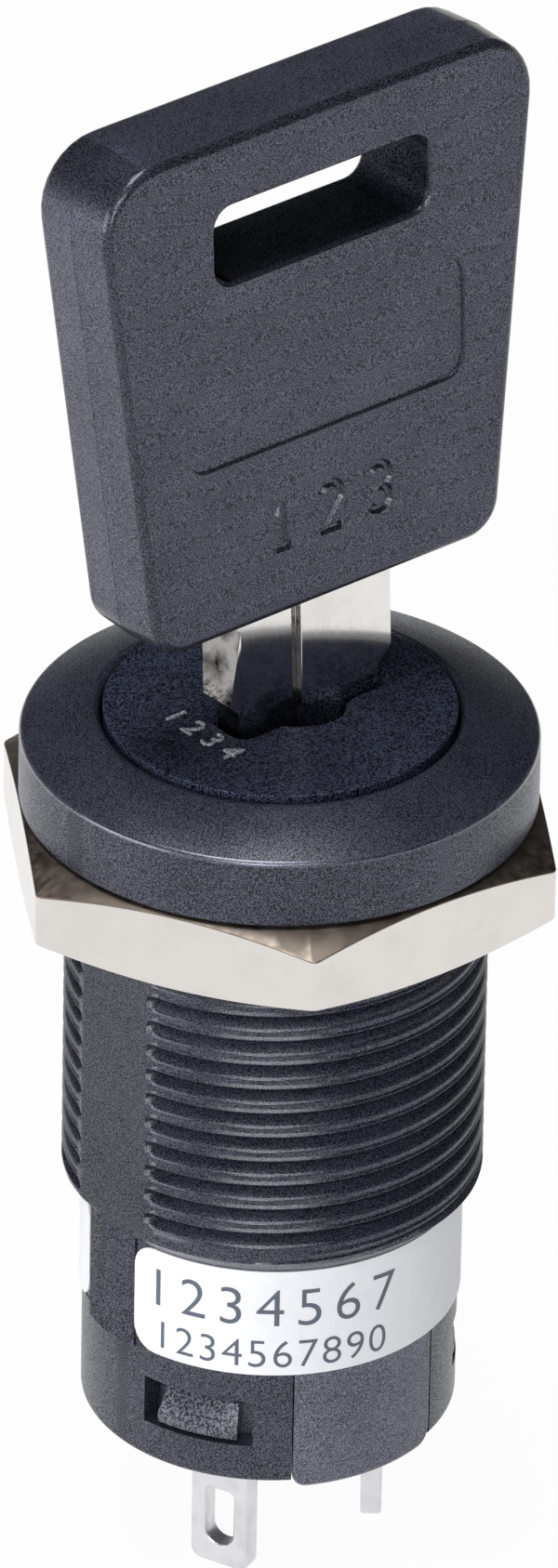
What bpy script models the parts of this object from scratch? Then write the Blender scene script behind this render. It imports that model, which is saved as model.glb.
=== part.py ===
"""Selector key switch for a panel, with its key in the lock, built as separate pieces.

Units are metres and +Z points out of the panel, towards the key's grip. The origin is on the lock's axis
at the panel seat, the underside of the bezel. The key's face looks along -Y, and it leans back a little.
Angles are in degrees about +Z from +X. The switch is shown with the key in and the lock at its first
position. The second position is a quarter turn clockwise, seen from the front.
"""
import math

import bmesh
import bpy
from mathutils import Matrix, Vector

MM = 0.001

# Clearances between pieces that touch on the real switch
GAP = 0.3 * MM
FINE_GAP = 0.15 * MM

# Bezel and bushing
BEZEL_R = 9.7 * MM
BEZEL_SIDE = 2.7 * MM
BEZEL_EDGE = 0.3 * MM
FACE_R = 6.8 * MM
FACE_TOP = 3.75 * MM
FACE_SEAT = 0.9 * MM
BUSHING_R = 7.9375 * MM
BUSHING_END = -15.6 * MM
TAPER_R = 7.25 * MM
TAPER_END = -16.6 * MM
FLAT_OFFSET = 7.71 * MM
FLAT_ANGLE = 180.0

# Skirt below the thread
SKIRT_R = 7.1 * MM
SKIRT_END = -26.2 * MM
SKIRT_EDGE = 0.2 * MM
LABEL_SEAT_R = 6.93 * MM
LABEL_R = 7.22 * MM
LABEL_THICK = 0.14 * MM
LABEL_TOP = -16.7 * MM
LABEL_END = -21.3 * MM
LABEL_CORNER = 1.0 * MM
LABEL_START_ANGLE = 186.0
LABEL_STOP_ANGLE = 526.0

# Land that carries the flat on below the thread, between the label's ends
LAND_LEFT = -1.37 * MM
LAND_CREST_RIGHT = -0.5 * MM
LAND_RIGHT = 0.4 * MM
LAND_OFFSET = 7.62 * MM
LAND_FOOT = 7.02 * MM
LAND_ROOT = 6.5 * MM
LAND_END_LEFT = -20.9 * MM
LAND_END_RIGHT = -21.5 * MM

# Lock bore, switch chamber and what is cut into them
LOCK_BORE_R = 5.75 * MM
LEDGE_Z = -13.6 * MM
CHAMBER_R = 6.3 * MM
LOCK_GROOVE_R = 6.45 * MM
LOCK_GROOVE_HALF = 2.9 * MM
LOCK_GROOVE_TOP = -0.9 * MM
LOCK_GROOVE_END = -11.5 * MM
STOP_ANGLE = 180.0
STOP_HALF_ANGLE = 10.0
STOP_R = 5.3 * MM
STOP_TOP = -15.9 * MM
STOP_END = -19.4 * MM

# Three-fold layout of the snap windows and terminals, and the notch between two of them
FIRST_ANGLE = 328.0
SECOND_ANGLE = 208.0
COMMON_ANGLE = 88.0
WINDOW_HALF_ANGLE = 18.2
WINDOW_TOP = -22.6 * MM
WINDOW_END = -24.6 * MM
NOTCH_START = 240.6
NOTCH_STOP = 287.9
NOTCH_CLEAR_ANGLE = 2.4
NOTCH_TOP = -20.7 * MM

# Panel nut
NUT_FLATS = 19.4 * MM
NUT_CORNER = 0.35 * MM
NUT_TOP = -GAP
NUT_END = -3.33 * MM
NUT_BORE_R = 8.1 * MM
NUT_VERTEX_ANGLE = 58.0
NUT_FACE_R = 9.5 * MM
NUT_CHAMFER_R = 11.4 * MM
NUT_TOP_DROP = 0.45 * MM
NUT_END_DROP = 0.65 * MM

# The key's axis crosses the face beside the lock's, and leans back from it
KEY_X = 0.83 * MM
KEY_LEAN = 3.085

# Lock plug and keyhole
DISC_R = 6.55 * MM
DISC_EDGE = 0.15 * MM
SHANK_R = 5.5 * MM
SHANK_END = -15.25 * MM
CLIP_GROOVE_R = 4.7 * MM
CLIP_GROOVE_TOP = -13.85 * MM
CLIP_GROOVE_END = -14.7 * MM
TANG_LENGTH = 6.0 * MM
TANG_WIDTH = 2.4 * MM
TANG_END = -16.2 * MM
KEYHOLE_HALF = 3.4 * MM
KEYHOLE_HALF_WIDTH = 0.95 * MM
KEYHOLE_ROUND_R = 1.8 * MM
KEYHOLE_ROUND_DEPTH = 2.4 * MM
KEYHOLE_CHAMFER = 0.25 * MM
KEYWAY_END = -12.4 * MM
TURN = -90.0

# Wafers in the plug
WAFER_Z = [-2.2 * MM, -4.8 * MM, -7.4 * MM, -10.0 * MM]
WAFER_R = 5.4 * MM
WAFER_HALF_WIDTH = 2.4 * MM
WAFER_THICK = 0.8 * MM
WAFER_WINDOW_LEFT = -2.87 * MM
WAFER_WINDOW_RIGHT = 4.3 * MM
WAFER_WINDOW_HALF = 1.15 * MM
EAR_LEFT = 0.9 * MM
EAR_RIGHT = 1.6 * MM
EAR_REACH = 3.9 * MM
POCKET_LEFT = -2.4 * MM
POCKET_RIGHT = 2.7 * MM
POCKET_REACH = 4.1 * MM
WAFER_SPRING_Y = 3.27 * MM
WAFER_SPRING_LENGTH = 2.7 * MM
WAFER_SPRING_R = 0.42 * MM
WAFER_SPRING_WIRE = 0.1 * MM
WAFER_SPRING_TURNS = 4

# Retaining ring
CLIP_R = 6.05 * MM
CLIP_BORE_R = 4.95 * MM
CLIP_THICK = 0.65 * MM
CLIP_OPEN_HALF_ANGLE = 32.0

# Contact rotor, detent and moving contact
ROTOR_R = 5.95 * MM
ROTOR_TOP = SHANK_END - GAP
ROTOR_END = -19.8 * MM
ROTOR_RECESS_R = 5.0 * MM
STOP_CLEAR_ANGLE = 3.0
DETENT_ANGLE = 30.0
DETENT_Z = -18.2 * MM
DETENT_HOLE_R = 1.0 * MM
DETENT_HOLE_FLOOR = 2.0 * MM
BALL_R = 0.8 * MM
BALL_REACH = 6.1 * MM
DETENT_GROOVE_R = 0.95 * MM
DETENT_GROOVE_REACH = 6.5 * MM
DETENT_SPRING_R = 0.55 * MM
DETENT_SPRING_WIRE = 0.12 * MM
DETENT_SPRING_TURNS = 3
ARM_ANGLE = 300.0
ARM_HUB_R = 2.2 * MM
ARM_HALF_WIDTH = 1.0 * MM
ARM_REACH = 5.0 * MM
ARM_TOP = -19.5 * MM
ARM_THICK = 0.4 * MM
ARM_POINT_R = 0.6 * MM
ARM_POINT_DEPTH = 0.3 * MM
CONTACT_SPRING_BORE = 1.5 * MM
CONTACT_SPRING_SEAT = -17.9 * MM
CONTACT_SPRING_R = 1.05 * MM
CONTACT_SPRING_WIRE = 0.14 * MM
CONTACT_SPRING_TURNS = 2

# Terminal block
BASE_R = 5.95 * MM
BASE_TOP = -22.4 * MM
BASE_END = -25.65 * MM
BASE_ROOT_R = 5.4 * MM
TONGUE_R = 7.02 * MM
TONGUE_TOP = -21.0 * MM
TONGUE_END = -26.55 * MM
TAB_HALF_ANGLE = 13.5
TAB_R = 7.05 * MM
TAB_TOP_R = 6.3 * MM
TAB_TOP = -22.9 * MM
TAB_SHOULDER = -24.0 * MM
TAB_END = -24.45 * MM

# Terminals, each drawn round its lug's centre with its face along +X
CONTACT_RADIUS = 4.0 * MM
LUG_CENTRE = 4.05 * MM
LUG_TWIST = -7.5
LUG_THICK = 0.8 * MM
LUG_WIDTH = 2.5 * MM
LUG_TOP = -26.25 * MM
LUG_END = -31.95 * MM
LUG_CORNER = 0.45 * MM
LUG_TOP_CORNER = 0.15 * MM
EYELET_WIDTH = 1.2 * MM
EYELET_TOP = -28.6 * MM
EYELET_END = -31.05 * MM
EYELET_TOP_CORNER = 0.25 * MM
EYELET_END_CORNER = 0.58 * MM
STEM_THICK = 0.5 * MM
STEM_WIDTH = 2.1 * MM
INNER_TAB_TOP = -21.5 * MM
INNER_TAB_THICK = 0.6 * MM
INNER_TAB_IN_R = 2.9 * MM
INNER_TAB_OUT_R = 5.1 * MM
INNER_TAB_HALF_ANGLE = 18.0
COMMON_PAD_R = 1.5 * MM
SILVER_R = 1.05 * MM
SILVER_TOP = -20.5 * MM
SILVER_EDGE = 0.3 * MM

# Key, drawn upright on its own axis
HEAD_TOP = 29.21 * MM
HEAD_END = 8.71 * MM
HEAD_TOP_HALF = 10.41 * MM
HEAD_END_HALF = 8.17 * MM
HEAD_THICK = 4.1 * MM
HEAD_TOP_CORNER = 2.6 * MM
HEAD_END_CORNER = 1.6 * MM
HEAD_EDGE = 0.7 * MM
RING_SLOT_HALF = 5.0 * MM
RING_SLOT_LOW = 23.25 * MM
RING_SLOT_HIGH = 26.38 * MM
RING_SLOT_CORNER = 0.8 * MM
PANEL_HALF = 6.5 * MM
PANEL_LOW = 15.95 * MM
PANEL_HIGH = 20.9 * MM
PANEL_CORNER = 0.9 * MM
PANEL_DEPTH = 0.15 * MM
BLADE_HALF = 3.85 * MM
BLADE_THICK = 1.6 * MM
BLADE_TOP = 12.8 * MM
BLADE_SHOULDER = 4.95 * MM
BLADE_BIT_X = -3.2 * MM
BLADE_TIP = -11.2 * MM
BLADE_TIP_CHAMFER = 1.2 * MM
BIT_DEPTHS = [0.8 * MM, 0.4 * MM, 1.0 * MM, 0.6 * MM]
BIT_FLOOR_HALF = 0.35 * MM
BIT_MOUTH_HALF = 0.95 * MM
BLADE_GROOVE_LEFT = -3.25 * MM
BLADE_GROOVE_RIGHT = -0.43 * MM
BLADE_GROOVE_TOP = 7.45 * MM
BLADE_GROOVE_DEPTH = 0.5 * MM

# Facets
SEGMENTS = 64
FINE_SEGMENTS = 48
SMALL_SEGMENTS = 24
STEP_ANGLE = 360.0 / SEGMENTS
WIRE_SIDES = 5
WIRE_POINTS_PER_TURN = 10
SMOOTH_ANGLE = math.radians(32)
CUT_PAST = 1.0 * MM

# Finishes: linear colour, roughness, metallic
BLACK_PLASTIC = ((0.030, 0.031, 0.036), 0.55, 0.0)
GREY_PLASTIC = ((0.050, 0.052, 0.058), 0.6, 0.0)
PALE_PLASTIC = ((0.45, 0.42, 0.36), 0.5, 0.0)
LABEL_FILM = ((0.85, 0.85, 0.86), 0.35, 0.0)
NICKEL = ((0.72, 0.69, 0.64), 0.28, 1.0)
NICKEL_SILVER = ((0.70, 0.68, 0.64), 0.22, 1.0)
TIN = ((0.74, 0.73, 0.70), 0.35, 1.0)
BRASS = ((0.70, 0.50, 0.20), 0.3, 1.0)
SPRING_STEEL = ((0.45, 0.45, 0.46), 0.3, 1.0)
SILVER = ((0.85, 0.84, 0.80), 0.2, 1.0)


def polar(radius, angle, z=0.0):
    """A point at a radius and an angle in degrees about +Z."""
    turn = math.radians(angle)
    return Vector((radius * math.cos(turn), radius * math.sin(turn), z))


def arc(centre, radius, start, stop, steps):
    """Points of a circular arc in a plane, both ends included."""
    angles = [math.radians(start + (stop - start) * i / steps) for i in range(steps + 1)]
    return [(centre[0] + radius * math.cos(a), centre[1] + radius * math.sin(a)) for a in angles]


def circle(centre, radius, steps=SMALL_SEGMENTS):
    """Points of a full circle in a plane, each once."""
    return arc(centre, radius, 0, 360, steps)[:-1]


def rounded(corners, radii, steps=4):
    """A closed outline through the corners, each rounded by its radius."""
    outline = []
    for index, corner in enumerate(corners):
        here = Vector(corner)
        to_last = (Vector(corners[index - 1]) - here).normalized()
        to_next = (Vector(corners[(index + 1) % len(corners)]) - here).normalized()
        half = to_last.angle(to_next) / 2
        centre = here + (to_last + to_next).normalized() * radii[index] / math.sin(half)
        first = here + to_last * radii[index] / math.tan(half) - centre
        last = here + to_next * radii[index] / math.tan(half) - centre
        sweep = first.angle_signed(last)
        for step in range(steps + 1):
            outline.append(tuple(centre + Matrix.Rotation(-sweep * step / steps, 2) @ first))
    return outline


def rectangle(left, right, low, high):
    """The corners of a rectangle, anticlockwise."""
    return [(left, low), (right, low), (right, high), (left, high)]


def prism(outline, low, high, plane="XY"):
    """A closed prism: the outline lies in the named plane and is pushed along the third axis."""
    order = {"XY": (0, 1, 2), "YZ": (2, 0, 1), "XZ": (0, 2, 1)}[plane]
    bm = bmesh.new()
    rings = []
    for depth in (low, high):
        points = [(a, b, depth) for a, b in outline]
        rings.append([bm.verts.new([point[i] for i in order]) for point in points])
        bm.faces.new(rings[-1])
    bridge(bm, rings[0], rings[1])
    return bm


def bridge(bm, ring, other):
    """Joins two closed loops of points by a band of faces, leaving out what has no area."""
    count = len(ring)
    for i in range(count):
        corners = (ring[i], ring[(i + 1) % count], other[(i + 1) % count], other[i])
        distinct = list(dict.fromkeys(corners))
        if len(distinct) > 2:
            bm.faces.new(distinct)


def spun(profile, start=0.0, stop=360.0, steps=SEGMENTS):
    """Turns a closed outline of (radius, z) points about +Z, all round or with flat ends."""
    bm = bmesh.new()
    full = math.isclose(stop - start, 360.0)
    axis = {z: bm.verts.new((0, 0, z)) for radius, z in profile if radius == 0}
    rings = []
    for i in range(steps if full else steps + 1):
        angle = start + (stop - start) * i / steps
        rings.append([bm.verts.new(polar(r, angle, z)) if r else axis[z] for r, z in profile])
    for ring, other in zip(rings, rings[1:] + rings[:1] if full else rings[1:]):
        bridge(bm, ring, other)
    if not full:
        bm.faces.new(rings[0])
        bm.faces.new(rings[-1])
    return bm


def sector(inner, outer, low, high, start, stop):
    """A block between two radii, two heights and two angles."""
    steps = max(2, math.ceil((stop - start) / STEP_ANGLE))
    return spun([(inner, low), (outer, low), (outer, high), (inner, high)], start, stop, steps)


def coil(length, radius, wire, turns):
    """A helical wire along +X from the origin, with flat ends."""
    bm = bmesh.new()
    count = turns * WIRE_POINTS_PER_TURN
    rings = []
    for i in range(count + 1):
        angle = math.tau * i / WIRE_POINTS_PER_TURN
        out = Vector((0, math.cos(angle), math.sin(angle)))
        around = Vector((length / (math.tau * turns), -radius * math.sin(angle), radius * math.cos(angle)))
        side = out.cross(around.normalized())
        centre = Vector((length * i / count, 0, 0)) + out * radius
        ring = []
        for j in range(WIRE_SIDES):
            lean = math.tau * j / WIRE_SIDES
            ring.append(bm.verts.new(centre + wire * (out * math.cos(lean) + side * math.sin(lean))))
        rings.append(ring)
    for ring, other in zip(rings, rings[1:]):
        bridge(bm, ring, other)
    bm.faces.new(rings[0])
    bm.faces.new(rings[-1])
    return bm


def add(name, bm, finish=None, parent=None, place=None):
    """Makes an object from a shape. With no finish it is a helper that cuts or joins."""
    bmesh.ops.recalc_face_normals(bm, faces=bm.faces)
    mesh = bpy.data.meshes.new(name)
    bm.to_mesh(mesh)
    bm.free()
    piece = bpy.data.objects.new(name, mesh)
    bpy.context.scene.collection.objects.link(piece)
    piece.parent = parent
    if place is not None:
        piece.matrix_local = place
    if finish is None:
        piece.hide_render = True
        piece.display_type = "WIRE"
        return piece
    colour, roughness, metallic = finish
    material = bpy.data.materials.new(name)
    material.use_nodes = True
    shader = material.node_tree.nodes["Principled BSDF"]
    shader.inputs["Base Color"].default_value = (*colour, 1.0)
    shader.inputs["Roughness"].default_value = roughness
    shader.inputs["Metallic"].default_value = metallic
    mesh.materials.append(material)
    mesh.shade_smooth()
    mesh.set_sharp_from_angle(angle=SMOOTH_ANGLE)
    return piece


def combine(piece, operation, label, bm, place=None):
    """Cuts a shape out of a piece, joins it on or keeps what they share."""
    tool = add(f"{piece.name}_{label}", bm, parent=piece, place=place)
    modifier = piece.modifiers.new(label, "BOOLEAN")
    modifier.operation = operation
    modifier.solver = "EXACT"
    modifier.object = tool


def cut(piece, label, bm, place=None):
    """Cuts a shape out of a piece."""
    combine(piece, "DIFFERENCE", label, bm, place)


def join(piece, label, bm, place=None):
    """Joins a shape on to a piece."""
    combine(piece, "UNION", label, bm, place)


def axis_at(name, place, parent=None):
    """An empty on a joint's axis, which carries the pieces that move together."""
    empty = bpy.data.objects.new(name, None)
    bpy.context.scene.collection.objects.link(empty)
    empty.parent = parent
    empty.matrix_local = place
    return empty


def turned_to(angle):
    """A turn about +Z, for what is drawn pointing along +X."""
    return Matrix.Rotation(math.radians(angle), 4, "Z")


def key_place():
    """Where the key's own axis stands: through the keyhole's centre, leaning towards +Y."""
    lean = Matrix.Rotation(math.radians(-KEY_LEAN), 4, "X")
    return Matrix.Translation((KEY_X, 0, FACE_TOP)) @ lean @ Matrix.Translation((0, 0, -FACE_TOP))


def terminal_place(angle):
    """Where a terminal's lug stands: on its radius, with its face a little off square to it."""
    return turned_to(angle) @ Matrix.Translation((LUG_CENTRE, 0, 0)) @ turned_to(LUG_TWIST)


def build_housing(parent):
    """The moulding: bezel, bushing at the thread's outer diameter, and skirt, with its bores."""
    outside = [(FACE_R, FACE_TOP)]
    lean = math.degrees(math.atan2(BEZEL_R - FACE_R, FACE_TOP - BEZEL_SIDE))
    outside += arc((BEZEL_R - BEZEL_EDGE, BEZEL_SIDE - BEZEL_EDGE), BEZEL_EDGE, lean, 0, 3)
    outside += arc((BEZEL_R - BEZEL_EDGE, BEZEL_EDGE), BEZEL_EDGE, 0, -90, 3)
    outside += [(BUSHING_R, 0), (BUSHING_R, BUSHING_END), (TAPER_R, TAPER_END)]
    outside += [(LABEL_SEAT_R, TAPER_END), (LABEL_SEAT_R, LABEL_END), (SKIRT_R, LABEL_END)]
    outside += [(SKIRT_R, SKIRT_END + SKIRT_EDGE), (SKIRT_R - SKIRT_EDGE, SKIRT_END)]
    inside = [(CHAMBER_R, SKIRT_END), (CHAMBER_R, LEDGE_Z), (LOCK_BORE_R, LEDGE_Z)]
    inside += [(LOCK_BORE_R, FACE_SEAT), (FACE_R, FACE_SEAT)]
    housing = add("housing", spun(outside + inside), BLACK_PLASTIC, parent)

    join(housing, "land", land_below_flat(), turned_to(FLAT_ANGLE))
    rib = sector(STOP_R, CHAMBER_R + GAP, STOP_END, STOP_TOP, -STOP_HALF_ANGLE, STOP_HALF_ANGLE)
    join(housing, "stop", rib, turned_to(STOP_ANGLE))

    flat = prism(rectangle(FLAT_OFFSET, BEZEL_R, -BEZEL_R / 2, BEZEL_R / 2), TAPER_END, -FINE_GAP)
    cut(housing, "flat", flat, turned_to(FLAT_ANGLE))
    for number, angle in enumerate((FIRST_ANGLE, SECOND_ANGLE, COMMON_ANGLE), 1):
        start, stop = angle - WINDOW_HALF_ANGLE, angle + WINDOW_HALF_ANGLE
        window = sector(CHAMBER_R - CUT_PAST, SKIRT_R + CUT_PAST, WINDOW_END, WINDOW_TOP, start, stop)
        cut(housing, f"window_{number}", window)
    start, stop = NOTCH_START - NOTCH_CLEAR_ANGLE, NOTCH_STOP + NOTCH_CLEAR_ANGLE
    notch = sector(CHAMBER_R - CUT_PAST, SKIRT_R + CUT_PAST, SKIRT_END - CUT_PAST, NOTCH_TOP, start, stop)
    cut(housing, "notch", notch)
    reach, half = LOCK_GROOVE_R, LOCK_GROOVE_HALF
    for label, angle in (("groove_along", 0.0), ("groove_across", 90.0)):
        groove = prism(rectangle(-reach, reach, -half, half), LOCK_GROOVE_END, LOCK_GROOVE_TOP)
        cut(housing, label, groove, turned_to(angle))
    for label, angle in (("click_first", DETENT_ANGLE), ("click_second", DETENT_ANGLE + TURN)):
        centre = (DETENT_GROOVE_REACH - DETENT_GROOVE_R, 0)
        depth = BALL_R + GAP
        groove = prism(circle(centre, DETENT_GROOVE_R), DETENT_Z - depth, DETENT_Z + depth)
        cut(housing, label, groove, turned_to(angle))
    return housing


def land_below_flat():
    """The raised land, pointing along +X: a flat crest, a steep left side and a slope on the right."""
    section = [
        (LAND_ROOT, LAND_LEFT, LAND_END_LEFT),
        (LAND_OFFSET, LAND_LEFT, LAND_END_LEFT),
        (LAND_OFFSET, LAND_CREST_RIGHT, (LAND_END_LEFT + LAND_END_RIGHT) / 2),
        (LAND_FOOT, LAND_RIGHT, LAND_END_RIGHT),
        (LAND_ROOT, LAND_RIGHT, LAND_END_RIGHT),
    ]
    bm = bmesh.new()
    low = [bm.verts.new(point) for point in section]
    high = [bm.verts.new((x, y, BUSHING_END + GAP)) for x, y, _ in section]
    bridge(bm, low, high)
    bm.faces.new(low)
    bm.faces.new(high)
    bmesh.ops.triangulate(bm, faces=bm.faces)
    return bm


def build_label(parent):
    """The wrap-round label: a thin band with rounded corners where its ends face each other."""
    corner = math.degrees(LABEL_CORNER / LABEL_R)
    turns = [corner * (1 - math.cos(math.radians(a))) for a in (0, 30, 60, 90)]
    count = math.ceil((LABEL_STOP_ANGLE - LABEL_START_ANGLE - 2 * corner) / STEP_ANGLE)
    middle = [
        LABEL_START_ANGLE + corner + (LABEL_STOP_ANGLE - LABEL_START_ANGLE - 2 * corner) * i / count
        for i in range(1, count)
    ]
    angles = [LABEL_START_ANGLE + t for t in turns] + middle
    angles += [LABEL_STOP_ANGLE - t for t in reversed(turns)]
    bm = bmesh.new()
    rings = []
    for angle in angles:
        from_end = min(angle - LABEL_START_ANGLE, LABEL_STOP_ANGLE - angle)
        away = max(0.0, 1 - from_end / corner)
        draw_in = LABEL_CORNER * (1 - math.sqrt(1 - away**2))
        low, high = LABEL_END + draw_in, LABEL_TOP - draw_in
        inner = LABEL_R - LABEL_THICK
        section = [(inner, low), (LABEL_R, low), (LABEL_R, high), (inner, high)]
        rings.append([bm.verts.new(polar(r, angle, z)) for r, z in section])
    for ring, other in zip(rings, rings[1:]):
        bridge(bm, ring, other)
    bm.faces.new(rings[0])
    bm.faces.new(rings[-1])
    return add("rating_label", bm, LABEL_FILM, parent)


def build_nut(parent):
    """The panel nut: a hexagon with turned chamfers on both faces, and a bore clear of the thread."""
    vertex_r = NUT_FLATS / 2 / math.cos(math.radians(30))
    corners = [tuple(polar(vertex_r, NUT_VERTEX_ANGLE + 60 * i).xy) for i in range(6)]
    outline = rounded(corners, [NUT_CORNER] * 6, 3)
    nut = add("panel_nut", prism(outline, NUT_END, NUT_TOP), NICKEL, parent)
    profile = [(NUT_BORE_R, NUT_TOP), (NUT_BORE_R, NUT_END), (NUT_FACE_R, NUT_END)]
    profile += [(NUT_CHAMFER_R, NUT_END + NUT_END_DROP), (NUT_CHAMFER_R, NUT_TOP - NUT_TOP_DROP)]
    profile += [(NUT_FACE_R, NUT_TOP)]
    combine(nut, "INTERSECT", "chamfers", spun(profile))
    return nut


def keyhole_outline(grow=0.0):
    """The straight slot for the blade, grown on all sides where a chamfer asks for it."""
    long, wide = KEYHOLE_HALF + grow, KEYHOLE_HALF_WIDTH + grow
    return rectangle(-long, long, -wide, wide)


def flare(outline, wider, low, high):
    """A prism whose upper outline is the wider one."""
    bm = bmesh.new()
    ring = [bm.verts.new((x, y, low)) for x, y in outline]
    other = [bm.verts.new((x, y, high)) for x, y in wider]
    bm.faces.new(ring)
    bm.faces.new(other)
    bridge(bm, ring, other)
    return bm


def build_plug(parent):
    """The lock plug: face disc, barrel with wafer slots, groove for the ring, and driving tang."""
    profile = [(0, FACE_TOP), (DISC_R - DISC_EDGE, FACE_TOP), (DISC_R, FACE_TOP - DISC_EDGE)]
    profile += [(DISC_R, FACE_SEAT + GAP), (SHANK_R, FACE_SEAT + GAP), (SHANK_R, CLIP_GROOVE_TOP)]
    profile += [(CLIP_GROOVE_R, CLIP_GROOVE_TOP), (CLIP_GROOVE_R, CLIP_GROOVE_END)]
    profile += [(SHANK_R, CLIP_GROOVE_END), (SHANK_R, SHANK_END), (0, SHANK_END)]
    plug = add("lock_plug", spun(profile, steps=FINE_SEGMENTS), BLACK_PLASTIC, parent)
    half, wide = TANG_LENGTH / 2, TANG_WIDTH / 2
    join(plug, "tang", prism(rectangle(-half, half, -wide, wide), TANG_END, SHANK_END + GAP))

    cut(plug, "keyway", prism(keyhole_outline(), KEYWAY_END, FACE_TOP + CUT_PAST), key_place())
    beside = Matrix.Translation((KEY_X, 0, 0))
    centre = circle((0, 0), KEYHOLE_ROUND_R)
    cut(plug, "keyhole_round", prism(centre, FACE_TOP - KEYHOLE_ROUND_DEPTH, FACE_TOP + CUT_PAST), beside)
    low, high = FACE_TOP - KEYHOLE_CHAMFER, FACE_TOP + KEYHOLE_CHAMFER
    slot, wider = keyhole_outline(), keyhole_outline(2 * KEYHOLE_CHAMFER)
    cut(plug, "slot_chamfer", flare(slot, wider, low, high), beside)
    wider = circle((0, 0), KEYHOLE_ROUND_R + 2 * KEYHOLE_CHAMFER)
    cut(plug, "round_chamfer", flare(centre, wider, low, high), beside)

    side = WAFER_HALF_WIDTH + GAP
    past = SHANK_R + CUT_PAST
    room = [(-past, -side), (past, -side), (past, side), (POCKET_RIGHT, side), (POCKET_RIGHT, POCKET_REACH)]
    room += [(POCKET_LEFT, POCKET_REACH), (POCKET_LEFT, side), (-past, side)]
    depth = WAFER_THICK / 2 + GAP
    for number, z in enumerate(WAFER_Z, 1):
        cut(plug, f"wafer_room_{number}", prism(room, z - depth, z + depth))
    return plug


def build_wafers(parent):
    """The tumbler wafers, held level with the barrel by the key, each with its spring beside it."""
    corner = math.degrees(math.asin(WAFER_HALF_WIDTH / WAFER_R))
    outline = arc((0, 0), WAFER_R, -corner, corner, 6)
    outline += [(EAR_RIGHT, WAFER_HALF_WIDTH), (EAR_RIGHT, EAR_REACH)]
    outline += [(EAR_LEFT, EAR_REACH), (EAR_LEFT, WAFER_HALF_WIDTH)]
    outline += arc((0, 0), WAFER_R, 180 - corner, 180 + corner, 6)
    half = WAFER_THICK / 2
    for number, z in enumerate(WAFER_Z, 1):
        place = Matrix.Translation((0, 0, z))
        wafer = add(f"wafer_{number}", prism(outline, -half, half), BRASS, parent, place)
        back = (z - FACE_TOP) * math.tan(math.radians(KEY_LEAN))
        low, high = back - WAFER_WINDOW_HALF, back + WAFER_WINDOW_HALF
        window = rectangle(WAFER_WINDOW_LEFT, WAFER_WINDOW_RIGHT, low, high)
        cut(wafer, "window", prism(window, -CUT_PAST, CUT_PAST))
        place = Matrix.Translation((POCKET_LEFT + GAP, WAFER_SPRING_Y, z))
        spring = coil(WAFER_SPRING_LENGTH, WAFER_SPRING_R, WAFER_SPRING_WIRE, WAFER_SPRING_TURNS)
        add(f"wafer_spring_{number}", spring, SPRING_STEEL, parent, place)


def build_retaining_ring(parent):
    """The open ring that snaps into the plug's groove under the bushing's ledge."""
    top = (CLIP_GROOVE_TOP + CLIP_GROOVE_END + CLIP_THICK) / 2
    start, stop = CLIP_OPEN_HALF_ANGLE, 360 - CLIP_OPEN_HALF_ANGLE
    ring = sector(CLIP_BORE_R, CLIP_R, top - CLIP_THICK, top, start, stop)
    return add("retaining_ring", ring, SPRING_STEEL, parent)


def paddle(hub, half, reach):
    """The outline of a round hub with an arm along +X."""
    corner = math.degrees(math.asin(half / hub))
    return arc((0, 0), hub, corner, 360 - corner, SMALL_SEGMENTS) + arc((reach - half, 0), half, -90, 90, 6)


def build_contact_rotor(parent):
    """The insulating hub driven by the tang, with the recess that the housing's stop runs in."""
    profile = [(0, ROTOR_TOP), (ROTOR_R, ROTOR_TOP), (ROTOR_R, ROTOR_END), (0, ROTOR_END)]
    rotor = add("contact_rotor", spun(profile, steps=FINE_SEGMENTS), PALE_PLASTIC, parent)
    half, wide = TANG_LENGTH / 2 + GAP, TANG_WIDTH / 2 + GAP
    cut(rotor, "tang_slot", prism(rectangle(-half, half, -wide, wide), TANG_END - GAP, ROTOR_TOP + CUT_PAST))
    start = STOP_ANGLE - STOP_HALF_ANGLE - STOP_CLEAR_ANGLE
    stop = STOP_ANGLE + STOP_HALF_ANGLE + STOP_CLEAR_ANGLE - TURN
    low, high = ROTOR_END - CUT_PAST, ROTOR_TOP + CUT_PAST
    cut(rotor, "stop_recess", sector(ROTOR_RECESS_R, ROTOR_R + CUT_PAST, low, high, start, stop))
    hole = circle((0, DETENT_Z), DETENT_HOLE_R)
    cut(rotor, "ball_hole", prism(hole, DETENT_HOLE_FLOOR, ROTOR_R + CUT_PAST, "YZ"), turned_to(DETENT_ANGLE))
    bore = circle((0, 0), CONTACT_SPRING_BORE)
    cut(rotor, "spring_bore", prism(bore, ROTOR_END - CUT_PAST, CONTACT_SPRING_SEAT))
    channel = paddle(ARM_HUB_R + GAP, ARM_HALF_WIDTH + GAP, ARM_REACH + GAP)
    cut(rotor, "arm_channel", prism(channel, ROTOR_END - CUT_PAST, ARM_TOP + GAP), turned_to(ARM_ANGLE))
    return rotor


def build_detent(rotor_axis, ball_axis):
    """The sprung ball that clicks into a groove of the chamber at each position."""
    ball = bmesh.new()
    bmesh.ops.create_uvsphere(ball, u_segments=16, v_segments=10, radius=BALL_R)
    add("detent_ball", ball, SPRING_STEEL, ball_axis)
    start = DETENT_HOLE_FLOOR + GAP
    length = BALL_REACH - 2 * BALL_R - FINE_GAP - start
    spring = coil(length, DETENT_SPRING_R, DETENT_SPRING_WIRE, DETENT_SPRING_TURNS)
    place = turned_to(DETENT_ANGLE) @ Matrix.Translation((start, 0, DETENT_Z))
    add("detent_spring", spring, SPRING_STEEL, rotor_axis, place)


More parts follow.
